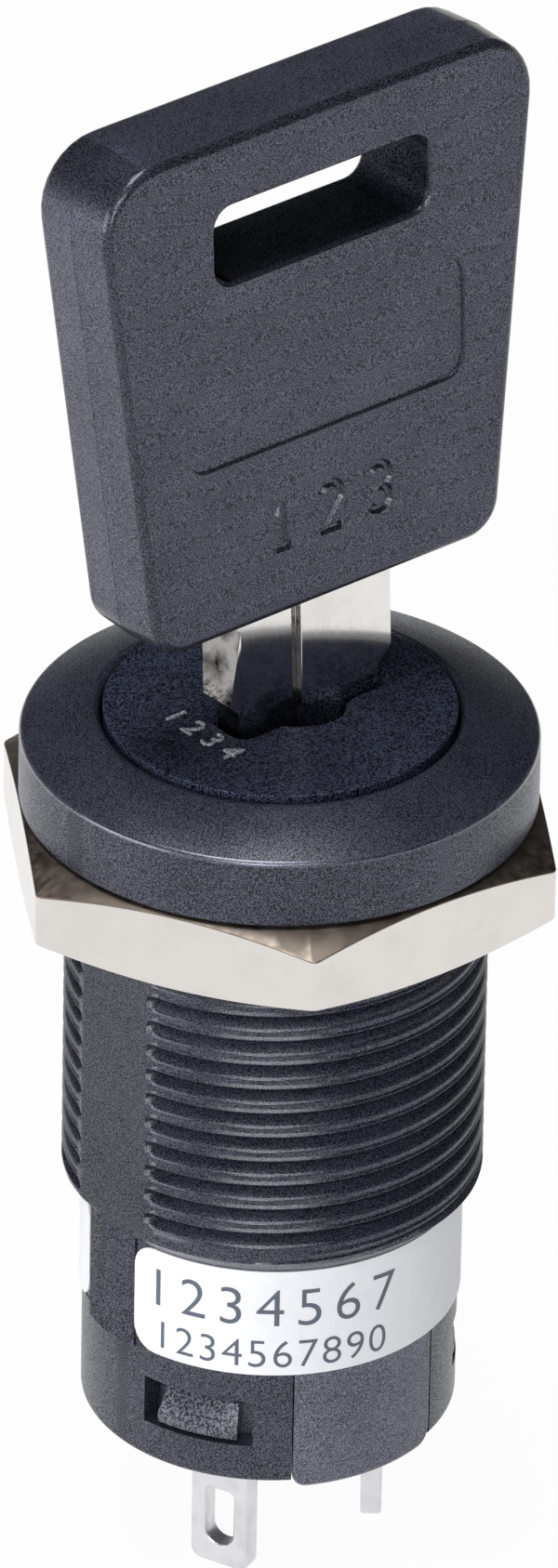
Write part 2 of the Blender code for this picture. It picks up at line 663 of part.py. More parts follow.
def build_moving_contact(parent):
    """The contact arm under the rotor, with a raised point at each end, and its spring."""
    outline = paddle(ARM_HUB_R, ARM_HALF_WIDTH, ARM_REACH)
    place = turned_to(ARM_ANGLE)
    arm = add("moving_contact", prism(outline, ARM_TOP - ARM_THICK, ARM_TOP), BRASS, parent, place)
    high, low = ARM_TOP - ARM_THICK / 2, ARM_TOP - ARM_THICK - ARM_POINT_DEPTH
    for label, reach in (("hub_point", 0.0), ("end_point", CONTACT_RADIUS)):
        point = circle((reach, 0), ARM_POINT_R, SMALL_SEGMENTS // 2)
        join(arm, label, prism(point, low, high))
    length = CONTACT_SPRING_SEAT - ARM_TOP - 2 * (GAP + CONTACT_SPRING_WIRE)
    spring = coil(length, CONTACT_SPRING_R, CONTACT_SPRING_WIRE, CONTACT_SPRING_TURNS)
    lift = Matrix.Translation((0, 0, ARM_TOP + GAP + CONTACT_SPRING_WIRE))
    upright = Matrix.Rotation(math.radians(-90), 4, "Y")
    add("contact_spring", spring, SPRING_STEEL, parent, lift @ upright)


def build_base(parent):
    """The terminal block: a plug for the skirt with a tongue in its notch and a tab in each window."""
    profile = [(0, BASE_TOP), (BASE_R, BASE_TOP), (BASE_R, BASE_END), (0, BASE_END)]
    base = add("base", spun(profile, steps=FINE_SEGMENTS), GREY_PLASTIC, parent)
    tongue = [(BASE_ROOT_R, BASE_TOP - FINE_GAP), (CHAMBER_R, BASE_TOP - FINE_GAP), (CHAMBER_R, TONGUE_TOP)]
    tongue += [(TONGUE_R, TONGUE_TOP), (TONGUE_R, TONGUE_END + SKIRT_EDGE)]
    tongue += [(TONGUE_R - SKIRT_EDGE, TONGUE_END), (BASE_ROOT_R, TONGUE_END)]
    join(base, "tongue", spun(tongue, NOTCH_START, NOTCH_STOP, 8))
    tab = [(BASE_ROOT_R, TAB_TOP), (TAB_TOP_R, TAB_TOP), (TAB_R, TAB_SHOULDER)]
    tab += [(TAB_R, TAB_END), (BASE_ROOT_R, TAB_END)]
    half, wide = STEM_THICK / 2 + GAP, STEM_WIDTH / 2 + GAP
    slot = rectangle(-half, half, -wide, wide)
    low, high = BASE_END - CUT_PAST, BASE_TOP + CUT_PAST
    for number, angle in enumerate((FIRST_ANGLE, SECOND_ANGLE, COMMON_ANGLE), 1):
        join(base, f"tab_{number}", spun(tab, -TAB_HALF_ANGLE, TAB_HALF_ANGLE, 5), turned_to(angle))
        cut(base, f"slot_{number}", prism(slot, low, high), terminal_place(angle))
    return base


def build_terminal(name, angle, inner_tab, parent):
    """A solder terminal: lug with its eyelet, stem through the base, and the tab inside."""
    half = LUG_WIDTH / 2
    radii = [LUG_CORNER, LUG_CORNER, LUG_TOP_CORNER, LUG_TOP_CORNER]
    outline = rounded(rectangle(-half, half, LUG_END, LUG_TOP), radii, 3)
    low, high = -LUG_THICK / 2, LUG_THICK / 2
    place = terminal_place(angle)
    terminal = add(name, prism(outline, low, high, "YZ"), TIN, parent, place)
    wide = EYELET_WIDTH / 2
    radii = [EYELET_END_CORNER, EYELET_END_CORNER, EYELET_TOP_CORNER, EYELET_TOP_CORNER]
    eyelet = rounded(rectangle(-wide, wide, EYELET_END, EYELET_TOP), radii, 4)
    cut(terminal, "eyelet", prism(eyelet, low - CUT_PAST, high + CUT_PAST, "YZ"))
    half, wide = STEM_THICK / 2, STEM_WIDTH / 2
    stem = rectangle(-half, half, -wide, wide)
    join(terminal, "stem", prism(stem, LUG_TOP - GAP, INNER_TAB_TOP - INNER_TAB_THICK / 2))
    join(terminal, "tab", inner_tab, place.inverted() @ turned_to(angle))
    return terminal


def build_terminals(parent):
    """The three terminals and the silver contacts on their inner tabs."""
    low, high = INNER_TAB_TOP - INNER_TAB_THICK, INNER_TAB_TOP
    for name, angle, contact in (
        ("first", FIRST_ANGLE, ARM_ANGLE),
        ("second", SECOND_ANGLE, ARM_ANGLE + TURN),
    ):
        start = min(contact - angle, 0) - INNER_TAB_HALF_ANGLE
        stop = max(contact - angle, 0) + INNER_TAB_HALF_ANGLE
        tab = sector(INNER_TAB_IN_R, INNER_TAB_OUT_R, low, high, start, stop)
        build_terminal(f"terminal_{name}", angle, tab, parent)
        build_silver(f"contact_{name}", polar(CONTACT_RADIUS, contact), parent)
    corner = math.degrees(math.asin(STEM_WIDTH / 2 / COMMON_PAD_R))
    strip = arc((0, 0), COMMON_PAD_R, corner, 360 - corner, SMALL_SEGMENTS)
    strip += [(LUG_CENTRE + STEM_THICK, -STEM_WIDTH / 2), (LUG_CENTRE + STEM_THICK, STEM_WIDTH / 2)]
    build_terminal("terminal_common", COMMON_ANGLE, prism(strip, low, high), parent)
    build_silver("contact_common", Vector((0, 0, 0)), parent)


def build_silver(name, place, parent):
    """A silver contact: a low button with a rounded edge."""
    bottom = INNER_TAB_TOP + FINE_GAP
    profile = [(0, bottom), (SILVER_R, bottom)]
    profile += arc((SILVER_R - SILVER_EDGE, SILVER_TOP - SILVER_EDGE), SILVER_EDGE, 0, 90, 3)
    profile += [(0, SILVER_TOP)]
    return add(name, spun(profile, steps=SMALL_SEGMENTS), SILVER, parent, Matrix.Translation(place))


def build_key_head(parent):
    """The moulded grip: a tapered plate with rounded edges, a key-ring slot and a shallow panel."""
    corners = [(-HEAD_END_HALF, HEAD_END), (HEAD_END_HALF, HEAD_END)]
    corners += [(HEAD_TOP_HALF, HEAD_TOP), (-HEAD_TOP_HALF, HEAD_TOP)]
    radii = [HEAD_END_CORNER, HEAD_END_CORNER, HEAD_TOP_CORNER, HEAD_TOP_CORNER]
    half = HEAD_THICK / 2
    head = add("key_head", prism(rounded(corners, radii, 5), -half, half, "XZ"), BLACK_PLASTIC, parent)
    bevel = head.modifiers.new("edges", "BEVEL")
    bevel.width = HEAD_EDGE
    bevel.segments = 3
    bevel.limit_method = "ANGLE"
    bevel.angle_limit = math.radians(60)
    slot = rectangle(-RING_SLOT_HALF, RING_SLOT_HALF, RING_SLOT_LOW, RING_SLOT_HIGH)
    slot = rounded(slot, [RING_SLOT_CORNER] * 4, 3)
    cut(head, "ring_slot", prism(slot, -half - CUT_PAST, half + CUT_PAST, "XZ"))
    panel = rounded(rectangle(-PANEL_HALF, PANEL_HALF, PANEL_LOW, PANEL_HIGH), [PANEL_CORNER] * 4, 3)
    cut(head, "front_panel", prism(panel, -half - CUT_PAST, PANEL_DEPTH - half, "XZ"))
    cut(head, "back_panel", prism(panel, half - PANEL_DEPTH, half + CUT_PAST, "XZ"))
    wide, deep = BLADE_HALF + FINE_GAP, BLADE_THICK / 2 + FINE_GAP
    pocket = rectangle(-wide, wide, -deep, deep)
    cut(head, "blade_pocket", prism(pocket, HEAD_END - CUT_PAST, BLADE_TOP + FINE_GAP))
    return head


def build_key_blade(parent):
    """The blade: shouldered above the lock, bitted along its left edge, with a milled groove on its face."""
    waist = BLADE_SHOULDER - BLADE_HALF - BLADE_BIT_X
    edge = [(-BLADE_HALF, BLADE_TOP), (-BLADE_HALF, BLADE_SHOULDER), (BLADE_BIT_X, waist)]
    for z, depth in zip(WAFER_Z, BIT_DEPTHS):
        floor = BLADE_BIT_X + depth
        edge += [(BLADE_BIT_X, z + BIT_MOUTH_HALF), (floor, z + BIT_FLOOR_HALF)]
        edge += [(floor, z - BIT_FLOOR_HALF), (BLADE_BIT_X, z - BIT_MOUTH_HALF)]
    outline = edge[:-1] + [(BLADE_BIT_X + BLADE_TIP_CHAMFER, BLADE_TIP)]
    outline += [(-BLADE_BIT_X - BLADE_TIP_CHAMFER, BLADE_TIP), (-BLADE_BIT_X, BLADE_TIP + BLADE_TIP_CHAMFER)]
    outline += [(-BLADE_BIT_X, waist), (BLADE_HALF, BLADE_SHOULDER), (BLADE_HALF, BLADE_TOP)]
    half = BLADE_THICK / 2
    blade = add("key_blade", prism(outline, -half, half, "XZ"), NICKEL_SILVER, parent)
    groove = rectangle(BLADE_GROOVE_LEFT, BLADE_GROOVE_RIGHT, BLADE_TIP - CUT_PAST, BLADE_GROOVE_TOP)
    cut(blade, "groove", prism(groove, -half - CUT_PAST, BLADE_GROOVE_DEPTH - half, "XZ"))
    return blade


def main():
    """Clears the scene and builds the switch from its body outwards."""
    for old in list(bpy.data.objects):
        bpy.data.objects.remove(old, do_unlink=True)
    switch = axis_at("switch", Matrix.Identity(4))
    plug_axis = axis_at("plug_axis", Matrix.Identity(4), switch)
    key_axis = axis_at("key_axis", key_place(), plug_axis)
    nut_axis = axis_at("nut_axis", Matrix.Identity(4), switch)
    ball_place = Matrix.Translation(polar(BALL_REACH - BALL_R, DETENT_ANGLE, DETENT_Z))
    ball_axis = axis_at("ball_axis", ball_place @ turned_to(DETENT_ANGLE), plug_axis)

    build_housing(switch)
    build_label(switch)
    build_nut(nut_axis)
    build_base(switch)
    build_terminals(switch)
    build_plug(plug_axis)
    build_wafers(plug_axis)
    build_retaining_ring(plug_axis)
    build_contact_rotor(plug_axis)
    build_detent(plug_axis, ball_axis)
    build_moving_contact(plug_axis)
    build_key_head(key_axis)
    build_key_blade(key_axis)


main()
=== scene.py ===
"""Looks of a panel-mounted selector key switch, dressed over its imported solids.

Every size below is in millimetres in the part's own frame: +Z points out of the panel towards the key's grip
and z = 0 is the panel seat under the bezel. Angles are degrees about +Z from +X. A mesh is scaled to metres
when it becomes a piece.
"""
from __future__ import annotations

import logging
import math
from abc import ABC, abstractmethod
from collections.abc import Callable, Iterable, Mapping, Sequence
from dataclasses import dataclass, field
from enum import Enum
from typing import Any

import bmesh
import bpy
from mathutils import Matrix, Vector


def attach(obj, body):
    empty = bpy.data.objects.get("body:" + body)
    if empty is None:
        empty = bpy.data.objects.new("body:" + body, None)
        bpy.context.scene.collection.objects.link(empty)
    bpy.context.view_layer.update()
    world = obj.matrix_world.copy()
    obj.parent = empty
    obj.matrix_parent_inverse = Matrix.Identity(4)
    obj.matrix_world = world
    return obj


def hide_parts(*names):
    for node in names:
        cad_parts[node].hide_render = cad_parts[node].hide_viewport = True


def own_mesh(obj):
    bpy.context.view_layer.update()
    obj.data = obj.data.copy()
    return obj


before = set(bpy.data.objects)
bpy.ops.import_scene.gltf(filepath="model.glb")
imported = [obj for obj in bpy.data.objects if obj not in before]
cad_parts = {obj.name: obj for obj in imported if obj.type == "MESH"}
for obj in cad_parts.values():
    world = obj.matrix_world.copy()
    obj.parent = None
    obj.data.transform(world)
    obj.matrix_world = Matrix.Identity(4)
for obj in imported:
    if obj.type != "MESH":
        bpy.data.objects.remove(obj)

LOG = logging.getLogger("key_switch")
MM = 0.001
PHOTO_HEIGHT_PX = 1687
COLUMNS = 288
SMOOTH_ANGLE = math.radians(28)
STROKE_THINNING = 0.012

Point = tuple[float, float]
Outline = list[Point]
BMesh = bmesh.types.BMesh
BObject = bpy.types.Object
Socket = bpy.types.NodeSocket
Face = bpy.types.MeshPolygon


class Body(str, Enum):
    """The moving bodies that a piece can ride on."""

    SWITCH = "body"
    NUT = "nut"
    PLUG = "plug"
    KEY = "key"


class Slot(str, Enum):
    """The material slots."""

    BLACK_PLASTIC = "black_plastic"
    BASE_PLASTIC = "base_plastic"
    ROTOR_PLASTIC = "rotor_plastic"
    LABEL_FILM = "label_film"
    NICKEL_PLATE = "nickel_plate"
    NICKEL_SILVER = "nickel_silver"
    TIN_PLATE = "tin_plate"
    BRASS = "brass"
    SPRING_STEEL = "spring_steel"
    SILVER = "silver"


class Carve(str, Enum):
    """What one solid does to another."""

    CUT = "DIFFERENCE"
    JOIN = "UNION"
    SHARE = "INTERSECT"


def linear(colour: str) -> tuple[float, float, float, float]:
    """Turns an sRGB hex colour into the linear values that shaders take.

    Args:
        colour: six hex digits after a hash sign.

    Returns:
        Linear red, green, blue and an alpha of 1.
    """
    values = [int(colour[i : i + 2], 16) / 255 for i in (1, 3, 5)]
    red, green, blue = (v / 12.92 if v <= 0.04045 else ((v + 0.055) / 1.055) ** 2.4 for v in values)
    return red, green, blue, 1.0


def per_metre(millimetres: float) -> float:
    """The texture scale at which one feature is as wide as the given millimetres."""
    return 1 / (millimetres * MM)


def add_node(
    tree: bpy.types.NodeTree,
    kind: str,
    settings: Mapping[str | int, Any] | None = None,
    links: Mapping[str | int, Socket] | None = None,
) -> bpy.types.Node:
    """Adds a shader node with its settings and links.

    Args:
        tree: the node tree that takes it.
        kind: Blender's own type name, without the ShaderNode prefix.
        settings: values by input name or number, or by the name of a property of the node.
        links: output sockets by the input name or number that they feed.

    Returns:
        The new node.
    """
    node = tree.nodes.new(f"ShaderNode{kind}")
    for name, value in (settings or {}).items():
        if isinstance(name, str) and hasattr(node, name):
            setattr(node, name, value)
        else:
            node.inputs[name].default_value = value
    for name, socket in (links or {}).items():
        tree.links.new(socket, node.inputs[name])
    return node


def new_material(name: str) -> tuple[bpy.types.Material, bpy.types.NodeTree, bpy.types.Node]:
    """Makes an empty material.

    Args:
        name: the material's name.

    Returns:
        The material, its node tree and its output node.
    """
    material = bpy.data.materials.new(name)
    material.use_nodes = True
    tree = material.node_tree
    tree.nodes.clear()
    return material, tree, add_node(tree, "OutputMaterial")


class Finish(ABC):
    """A surface finish that makes its material once."""

    name: str

    @abstractmethod
    def shade(self, tree: bpy.types.NodeTree, place: Socket) -> bpy.types.Node:
        """Adds the finish's nodes.

        Args:
            tree: the material's node tree.
            place: object coordinates in metres.

        Returns:
            The shader node that the surface shows.
        """

    def material(self) -> bpy.types.Material:
        """The finish's material, made at the first call."""
        made = bpy.data.materials.get(self.name)
        if made is None:
            made, tree, output = new_material(self.name)
            place = add_node(tree, "TexCoord").outputs["Object"]
            shader = self.shade(tree, place)
            tree.links.new(shader.outputs[0], output.inputs["Surface"])
        return made


@dataclass(frozen=True)
class MouldedPlastic(Finish):
    """Black engineering plastic, injection moulded in a spark-eroded tool.

    The tool leaves a grain of tiny pits: their rims catch the light and their floors stay black, so the
    surface breaks up into light and dark specks, and the polish on a worn edge flashes in a thin bright line.
    Real grain of about 0.03 mm would be lost at render size, so it is drawn nearly twice as coarse.
    """

    name: str
    colour: str
    speck: str
    roughness: float = 0.5
    ior: float = 1.55
    grain_mm: float = 0.05
    grain_height_mm: float = 0.004
    bloom_mm: float = 3.0
    gloss: tuple[float, float] = (0.15, 0.75)
    tint: str = "#c8cdea"
    polish: float = 0.3
    polish_roughness: float = 0.15

    def shade(self, tree: bpy.types.NodeTree, place: Socket) -> bpy.types.Node:
        """Specks of two tones and glosses, a slow bloom and a pitted bump. See Finish.shade."""
        grain = add_node(
            tree, "TexNoise",
            {"Scale": per_metre(self.grain_mm), "Detail": 1.0},
            {"Vector": place},
        )
        bloom = add_node(
            tree, "TexNoise", {"Scale": per_metre(self.bloom_mm), "Detail": 3.0}, {"Vector": place}
        )
        drift = add_node(
            tree, "Math", {"operation": "MULTIPLY_ADD", 1: 0.1, 2: -0.05}, {0: bloom.outputs["Fac"]}
        )
        tone = add_node(
            tree, "Math", {"operation": "ADD"}, {0: grain.outputs["Fac"], 1: drift.outputs[0]}
        )
        speck = add_node(
            tree, "MapRange", {"From Min": 0.44, "From Max": 0.58}, {"Value": tone.outputs[0]}
        )
        colour = add_node(
            tree, "Mix",
            {"data_type": "RGBA", 6: linear(self.colour), 7: linear(self.speck)},
            {0: speck.outputs["Result"]},
        )
        gloss = add_node(
            tree, "MapRange", {"To Min": self.gloss[0], "To Max": self.gloss[1]},
            {"Value": speck.outputs["Result"]},
        )
        bump = add_node(
            tree, "Bump",
            {"Strength": 0.55, "Distance": self.grain_height_mm * MM},
            {"Height": grain.outputs["Fac"]},
        )
        return add_node(
            tree, "BsdfPrincipled",
            {
                "IOR": self.ior, "Roughness": self.roughness, "Specular Tint": linear(self.tint),
                "Coat Weight": self.polish, "Coat Roughness": self.polish_roughness,
            },
            {
                "Base Color": colour.outputs[2],
                "Specular IOR Level": gloss.outputs["Result"],
                "Normal": bump.outputs["Normal"],
                "Coat Normal": bump.outputs["Normal"],
            },
        )


@dataclass(frozen=True)
class PlatedMetal(Finish):
    """Metal sheet or bar with a thin plated or tumbled skin.

    The skin is bright but not a mirror: faint streaks from rolling or turning and a few pits soften what it
    reflects, and its tone wanders a little. The streaks are drawn coarser than real ones so that they show.
    """

    name: str
    colour: str
    shade_colour: str
    roughness: float = 0.2
    streak_mm: tuple[float, float, float] = (0.12, 0.12, 1.6)
    streak_height_mm: float = 0.002
    cloud_mm: float = 1.8

    def shade(self, tree: bpy.types.NodeTree, place: Socket) -> bpy.types.Node:
        """Clouded tone, streaked bump and roughness. See Finish.shade."""
        stretch = add_node(
            tree, "Mapping", {"Scale": tuple(per_metre(size) for size in self.streak_mm)}, {"Vector": place}
        )
        streak = add_node(
            tree, "TexNoise", {"Scale": 1.0, "Detail": 3.0}, {"Vector": stretch.outputs["Vector"]}
        )
        cloud = add_node(
            tree, "TexNoise", {"Scale": per_metre(self.cloud_mm), "Detail": 4.0}, {"Vector": place}
        )
        tone = add_node(
            tree, "Mix",
            {"data_type": "RGBA", 6: linear(self.shade_colour), 7: linear(self.colour)},
            {0: add_node(
                tree, "MapRange", {"From Min": 0.3, "From Max": 0.55}, {"Value": cloud.outputs["Fac"]}
            ).outputs["Result"]},
        )
        gloss = add_node(
            tree, "MapRange",
            {
                "From Min": 0.3, "From Max": 0.7,
                "To Min": self.roughness * 0.8, "To Max": self.roughness * 1.3,
            },
            {"Value": streak.outputs["Fac"]},
        )
        bump = add_node(
            tree, "Bump",
            {"Strength": 0.5, "Distance": self.streak_height_mm * MM},
            {"Height": streak.outputs["Fac"]},
        )
        return add_node(
            tree, "BsdfPrincipled", {"Metallic": 1.0},
            {
                "Base Color": tone.outputs[2],
                "Roughness": gloss.outputs["Result"],
                "Normal": bump.outputs["Normal"],
            },
        )


@dataclass(frozen=True)
class SatinFilm(Finish):
    """Polyester label film or its printed ink, rolled on.

    Film is white with a satin face that dips over the moulding's grain, and ink lies on it a little uneven.
    """

    name: str
    colour: str
    shade_colour: str
    roughness: float = 0.38
    ripple_mm: float = 0.6
    ripple_height_mm: float = 0.006

    def shade(self, tree: bpy.types.NodeTree, place: Socket) -> bpy.types.Node:
        """Uneven tone and slight ripples. See Finish.shade."""
        ripple = add_node(
            tree, "TexNoise", {"Scale": per_metre(self.ripple_mm), "Detail": 3.0}, {"Vector": place}
        )
        tone = add_node(
            tree, "Mix",
            {"data_type": "RGBA", 6: linear(self.shade_colour), 7: linear(self.colour)},
            {0: ripple.outputs["Fac"]},
        )
        bump = add_node(
            tree, "Bump",
            {"Strength": 0.4, "Distance": self.ripple_height_mm * MM},
            {"Height": ripple.outputs["Fac"]},
        )
        return add_node(
            tree, "BsdfPrincipled", {"Roughness": self.roughness, "IOR": 1.5},
            {"Base Color": tone.outputs[2], "Normal": bump.outputs["Normal"]},
        )


HOUSING_PLASTIC = MouldedPlastic(
    "pbt_black_spark_eroded", "#030408", "#3a3d4b", roughness=0.42, gloss=(0.0, 1.0), polish=0.55,
    polish_roughness=0.3,
)
# The thread's flat: a darker, duller copy of the housing's plastic, painted shade so that it matches the land
# below.
HOUSING_FLAT_PAINTED_SHADE = MouldedPlastic(
    "pbt_black_flat_painted_shade", "#030408", "#31343f", roughness=0.42, gloss=(0.0, 0.8), polish=0.45, polish_roughness=0.3
)
HOUSING_EDGE = MouldedPlastic(
    "pbt_black_worn_edge", "#040509", "#343746", grain_height_mm=0.01, polish=0.8, polish_roughness=0.2
)
# The bezel's rim round: glossier, and lighter in colour all round as a painted highlight.
HOUSING_ARRIS_PAINTED_HIGHLIGHT = MouldedPlastic(
    "pbt_black_arris_painted_highlight", "#0b0c11", "#4a4d5a", roughness=0.3, grain_height_mm=0.002, gloss=(0.8, 1.2),
    polish=1.0, polish_roughness=0.22,
)
GRIP_PLASTIC = MouldedPlastic("abs_black_key_grip", "#040509", "#454756", roughness=0.45, gloss=(0.2, 1.2))
GRIP_EDGE = MouldedPlastic(
    "abs_black_worn_edge", "#040509", "#34363f", roughness=0.4, grain_height_mm=0.001, polish=0.45,
    polish_roughness=0.15,
)
# The slot's walls: a darker, duller copy of the grip's plastic, painted shade for the recess.
SLOT_WALL_PAINTED_SHADE = MouldedPlastic(
    "abs_black_slot_wall_painted_shade", "#030407", "#23262f", roughness=0.5, gloss=(0.0, 0.35), polish=0.0
)
PLUG_PLASTIC = MouldedPlastic(
    "pom_black_lock_plug", "#030408", "#363b50", grain_mm=0.07, grain_height_mm=0.015, polish=0.0
)
# The raised figures: glossy, and pale grey all over as a painted glint for the light that their edges catch.
MARK_PAINTED_GLINT = MouldedPlastic("pom_raised_figures_painted_glint", "#5c5d64", "#c4c6ce", roughness=0.3, polish=1.0)
BASE_PLASTIC = MouldedPlastic("phenolic_black_base", "#2c2d34", "#6e707c", roughness=0.5, gloss=(0.4, 1.0))
TAB_PLASTIC = MouldedPlastic(
    "phenolic_black_coarse_tab", "#24262c", "#5c5e69", roughness=0.4, grain_mm=0.1, grain_height_mm=0.03,
    polish=0.6,
)
ROTOR_PLASTIC = MouldedPlastic("nylon_natural_rotor", "#a89f8c", "#c9c0ad", tint="#ffffff")
NUT_NICKEL = PlatedMetal("nickel_plate_on_brass", "#dedad6", "#d8d3cf", 0.16, (0.5, 0.5, 0.06))
# The nut's up-facing faces: rougher, and a darker brownish nickel that is a painted reflection of the bezel's
# underside and its shade.
NUT_TOP_PAINTED_REFLECTION = PlatedMetal("nickel_plate_top_painted_reflection", "#80766d", "#6d645c", 0.4, (0.4, 0.4, 0.4), 0.002)
BLADE_METAL = PlatedMetal("nickel_silver_rolled", "#e6e4e1", "#dcd9d5", 0.09, (0.1, 0.1, 1.2), 0.001)
# The blade's sheared side and groove wall: a rougher, bumpier skin, with near-black patches as painted shade for
# the dark things they reflect.
BLADE_SIDE_PAINTED_SHADE = PlatedMetal("nickel_silver_sheared_painted_shade", "#a3a19e", "#1d1c1b", 0.16, (0.25, 0.25, 0.4), 0.06, 1.0)
LUG_TIN = PlatedMetal("tin_plate_on_brass", "#dbdade", "#cecdd2", 0.38, (0.25, 0.25, 0.9), 0.003, 0.9)
WAFER_BRASS = PlatedMetal("brass_stamped", "#d8b45e", "#b98f3e", 0.28)
SPRING_STEEL = PlatedMetal("spring_steel_drawn", "#a9abb0", "#83858b", 0.25)
CONTACT_SILVER = PlatedMetal("fine_silver_contact", "#f0efe9", "#d9d8d2", 0.18)
LABEL_WHITE = SatinFilm("polyester_label_white", "#edeef3", "#e2e3e9")
LABEL_INK = SatinFilm("slate_screen_ink", "#4a5160", "#5e6674", 0.5, 0.12, 0.002)


def polar(radius: float, angle: float, z: float = 0.0) -> Vector:
    """A point at a radius, an angle in degrees about +Z and a height."""
    turn = math.radians(angle)
    return Vector((radius * math.cos(turn), radius * math.sin(turn), z))


def arc(centre: Point, radius: float, start: float, stop: float, steps: int) -> Outline:
    """Points of a circular arc, both ends included.

    Args:
        centre: the arc's centre.
        radius: its radius.
        start: first angle in degrees.
        stop: last angle in degrees.
        steps: how many chords it has.

    Returns:
        The points in order.
    """
    angles = [math.radians(start + (stop - start) * i / steps) for i in range(steps + 1)]
    return [(centre[0] + radius * math.cos(a), centre[1] + radius * math.sin(a)) for a in angles]


def rounded(corners: Sequence[tuple[float, float, float]], steps: int = 5) -> Outline:
    """A closed outline with rounded corners.

    Args:
        corners: each corner's two coordinates and its radius, where 0 keeps it sharp.
        steps: chords in each rounded corner.

    Returns:
        The outline's points in order.
    """
    outline: Outline = []
    for index, (a, b, radius) in enumerate(corners):
        here = Vector((a, b))
        if radius == 0:
            outline.append((a, b))
            continue
        to_last = (Vector(corners[index - 1][:2]) - here).normalized()
        to_next = (Vector(corners[(index + 1) % len(corners)][:2]) - here).normalized()
        half = to_last.angle(to_next) / 2
        centre = here + (to_last + to_next).normalized() * radius / math.sin(half)
        first = here + to_last * radius / math.tan(half) - centre
        sweep = first.angle_signed(here + to_next * radius / math.tan(half) - centre)
        for step in range(steps + 1):
            turned = Matrix.Rotation(-sweep * step / steps, 2) @ first
            outline.append(tuple(centre + turned))
    return outline


def box_corners(left: float, right: float, low: float, high: float, radius: float = 0.0) -> list:
    """The corners of a rectangle with one radius, anticlockwise."""
    return [(left, low, radius), (right, low, radius), (right, high, radius), (left, high, radius)]


def corners_only(corners: Sequence[tuple[float, float, float]]) -> Outline:
    """The same corners, all sharp."""
    return [(a, b) for a, b, _ in corners]


def grown(outline: Outline, by: float) -> Outline:
    """An anticlockwise outline with each point pushed out along its normal.

    Args:
        outline: the points in order.
        by: how far they move.

    Returns:
        The moved points.
    """
    count = len(outline)
    result = []
    for i in range(count):
        along = Vector(outline[(i + 1) % count]) - Vector(outline[i - 1])
        normal = Vector((along.y, -along.x)).normalized()
        result.append(tuple(Vector(outline[i]) + normal * by))
    return result


def band(bm: BMesh, ring: Sequence[bmesh.types.BMVert], other: Sequence[bmesh.types.BMVert]) -> None:
    """Joins two closed rings of points by faces.

    Args:
        bm: the mesh that holds them.
        ring: points of one ring.
        other: as many points of the next.
    """
    count = len(ring)
    for i in range(count):
        bm.faces.new((ring[i], ring[(i + 1) % count], other[(i + 1) % count], other[i]))


def loft(rings: Iterable[Iterable[Sequence[float]]]) -> BMesh:
    """A closed solid through rings of equal count, with both ends capped.

    Args:
        rings: the rings' points, in order.

    Returns:
        The solid.
    """
    bm = bmesh.new()
    loops = [[bm.verts.new(point) for point in ring] for ring in rings]
    for ring, other in zip(loops, loops[1:]):
        band(bm, ring, other)
    bm.faces.new(loops[0])
    bm.faces.new(loops[-1])
    return bm


def prism(outline: Outline, low: float, high: float, plane: str = "XY") -> BMesh:
    """A closed prism.

    Args:
        outline: points in the named plane.
        low: where it starts along the third axis.
        high: where it ends.
        plane: "XY", "YZ" or "XZ".

    Returns:
        The solid.
    """
    order = {"XY": (0, 1, 2), "YZ": (2, 0, 1), "XZ": (0, 2, 1)}[plane]
    rings = [[(a, b, depth) for a, b in outline] for depth in (low, high)]
    return loft([[[point[i] for i in order] for point in ring] for ring in rings])


def turned(profile: Outline, columns: int = COLUMNS, start: float = 0.0, stop: float = 360.0) -> BMesh:
    """Turns a closed outline about +Z, all round or with flat ends.

    Args:
        profile: radius and height of each point, in order, none on the axis.
        columns: how many chords the turn has.
        start: first angle in degrees.
        stop: last angle in degrees.

    Returns:
        The solid.
    """
    full = math.isclose(stop - start, 360.0)
    angles = [start + (stop - start) * i / columns for i in range(columns + (not full))]
    rings = [[polar(r, angle, z) for r, z in profile] for angle in angles]
    if not full:
        return loft(rings)
    bm = bmesh.new()
    loops = [[bm.verts.new(point) for point in ring] for ring in rings]
    for ring, other in zip(loops, loops[1:] + loops[:1]):
        band(bm, ring, other)
    return bm


def sector(inner: float, outer: float, low: float, high: float, start: float, stop: float) -> BMesh:
    """A block between two radii, two heights and two angles."""
    columns = max(2, math.ceil((stop - start) / (360 / COLUMNS)))
    return turned([(inner, low), (outer, low), (outer, high), (inner, high)], columns, start, stop)


def moved(bm: BMesh, place: Matrix) -> BMesh:
    """The same mesh after a move."""
    bm.transform(place)
    return bm


def turn_to(angle: float) -> Matrix:
    """A turn about +Z in degrees."""
    return Matrix.Rotation(math.radians(angle), 4, "Z")


def as_object(name: str, bm: BMesh) -> BObject:
    """Makes an object of a mesh and frees it.

    Args:
        name: the object's name.
        bm: the mesh, whose faces are turned out here.

    Returns:
        The object, linked to the scene.
    """
    bmesh.ops.recalc_face_normals(bm, faces=bm.faces)
    mesh = bpy.data.meshes.new(name)
    bm.to_mesh(mesh)
    bm.free()
    made = bpy.data.objects.new(name, mesh)
    bpy.context.scene.collection.objects.link(made)
    return made


def evaluated(made: BObject) -> BMesh:
    """The object's mesh with its modifiers applied.

    Args:
        made: the object.

    Returns:
        A new mesh.
    """
    graph = bpy.context.evaluated_depsgraph_get()
    bm = bmesh.new()
    bm.from_mesh(made.evaluated_get(graph).to_mesh())
    made.evaluated_get(graph).to_mesh_clear()
    return bm


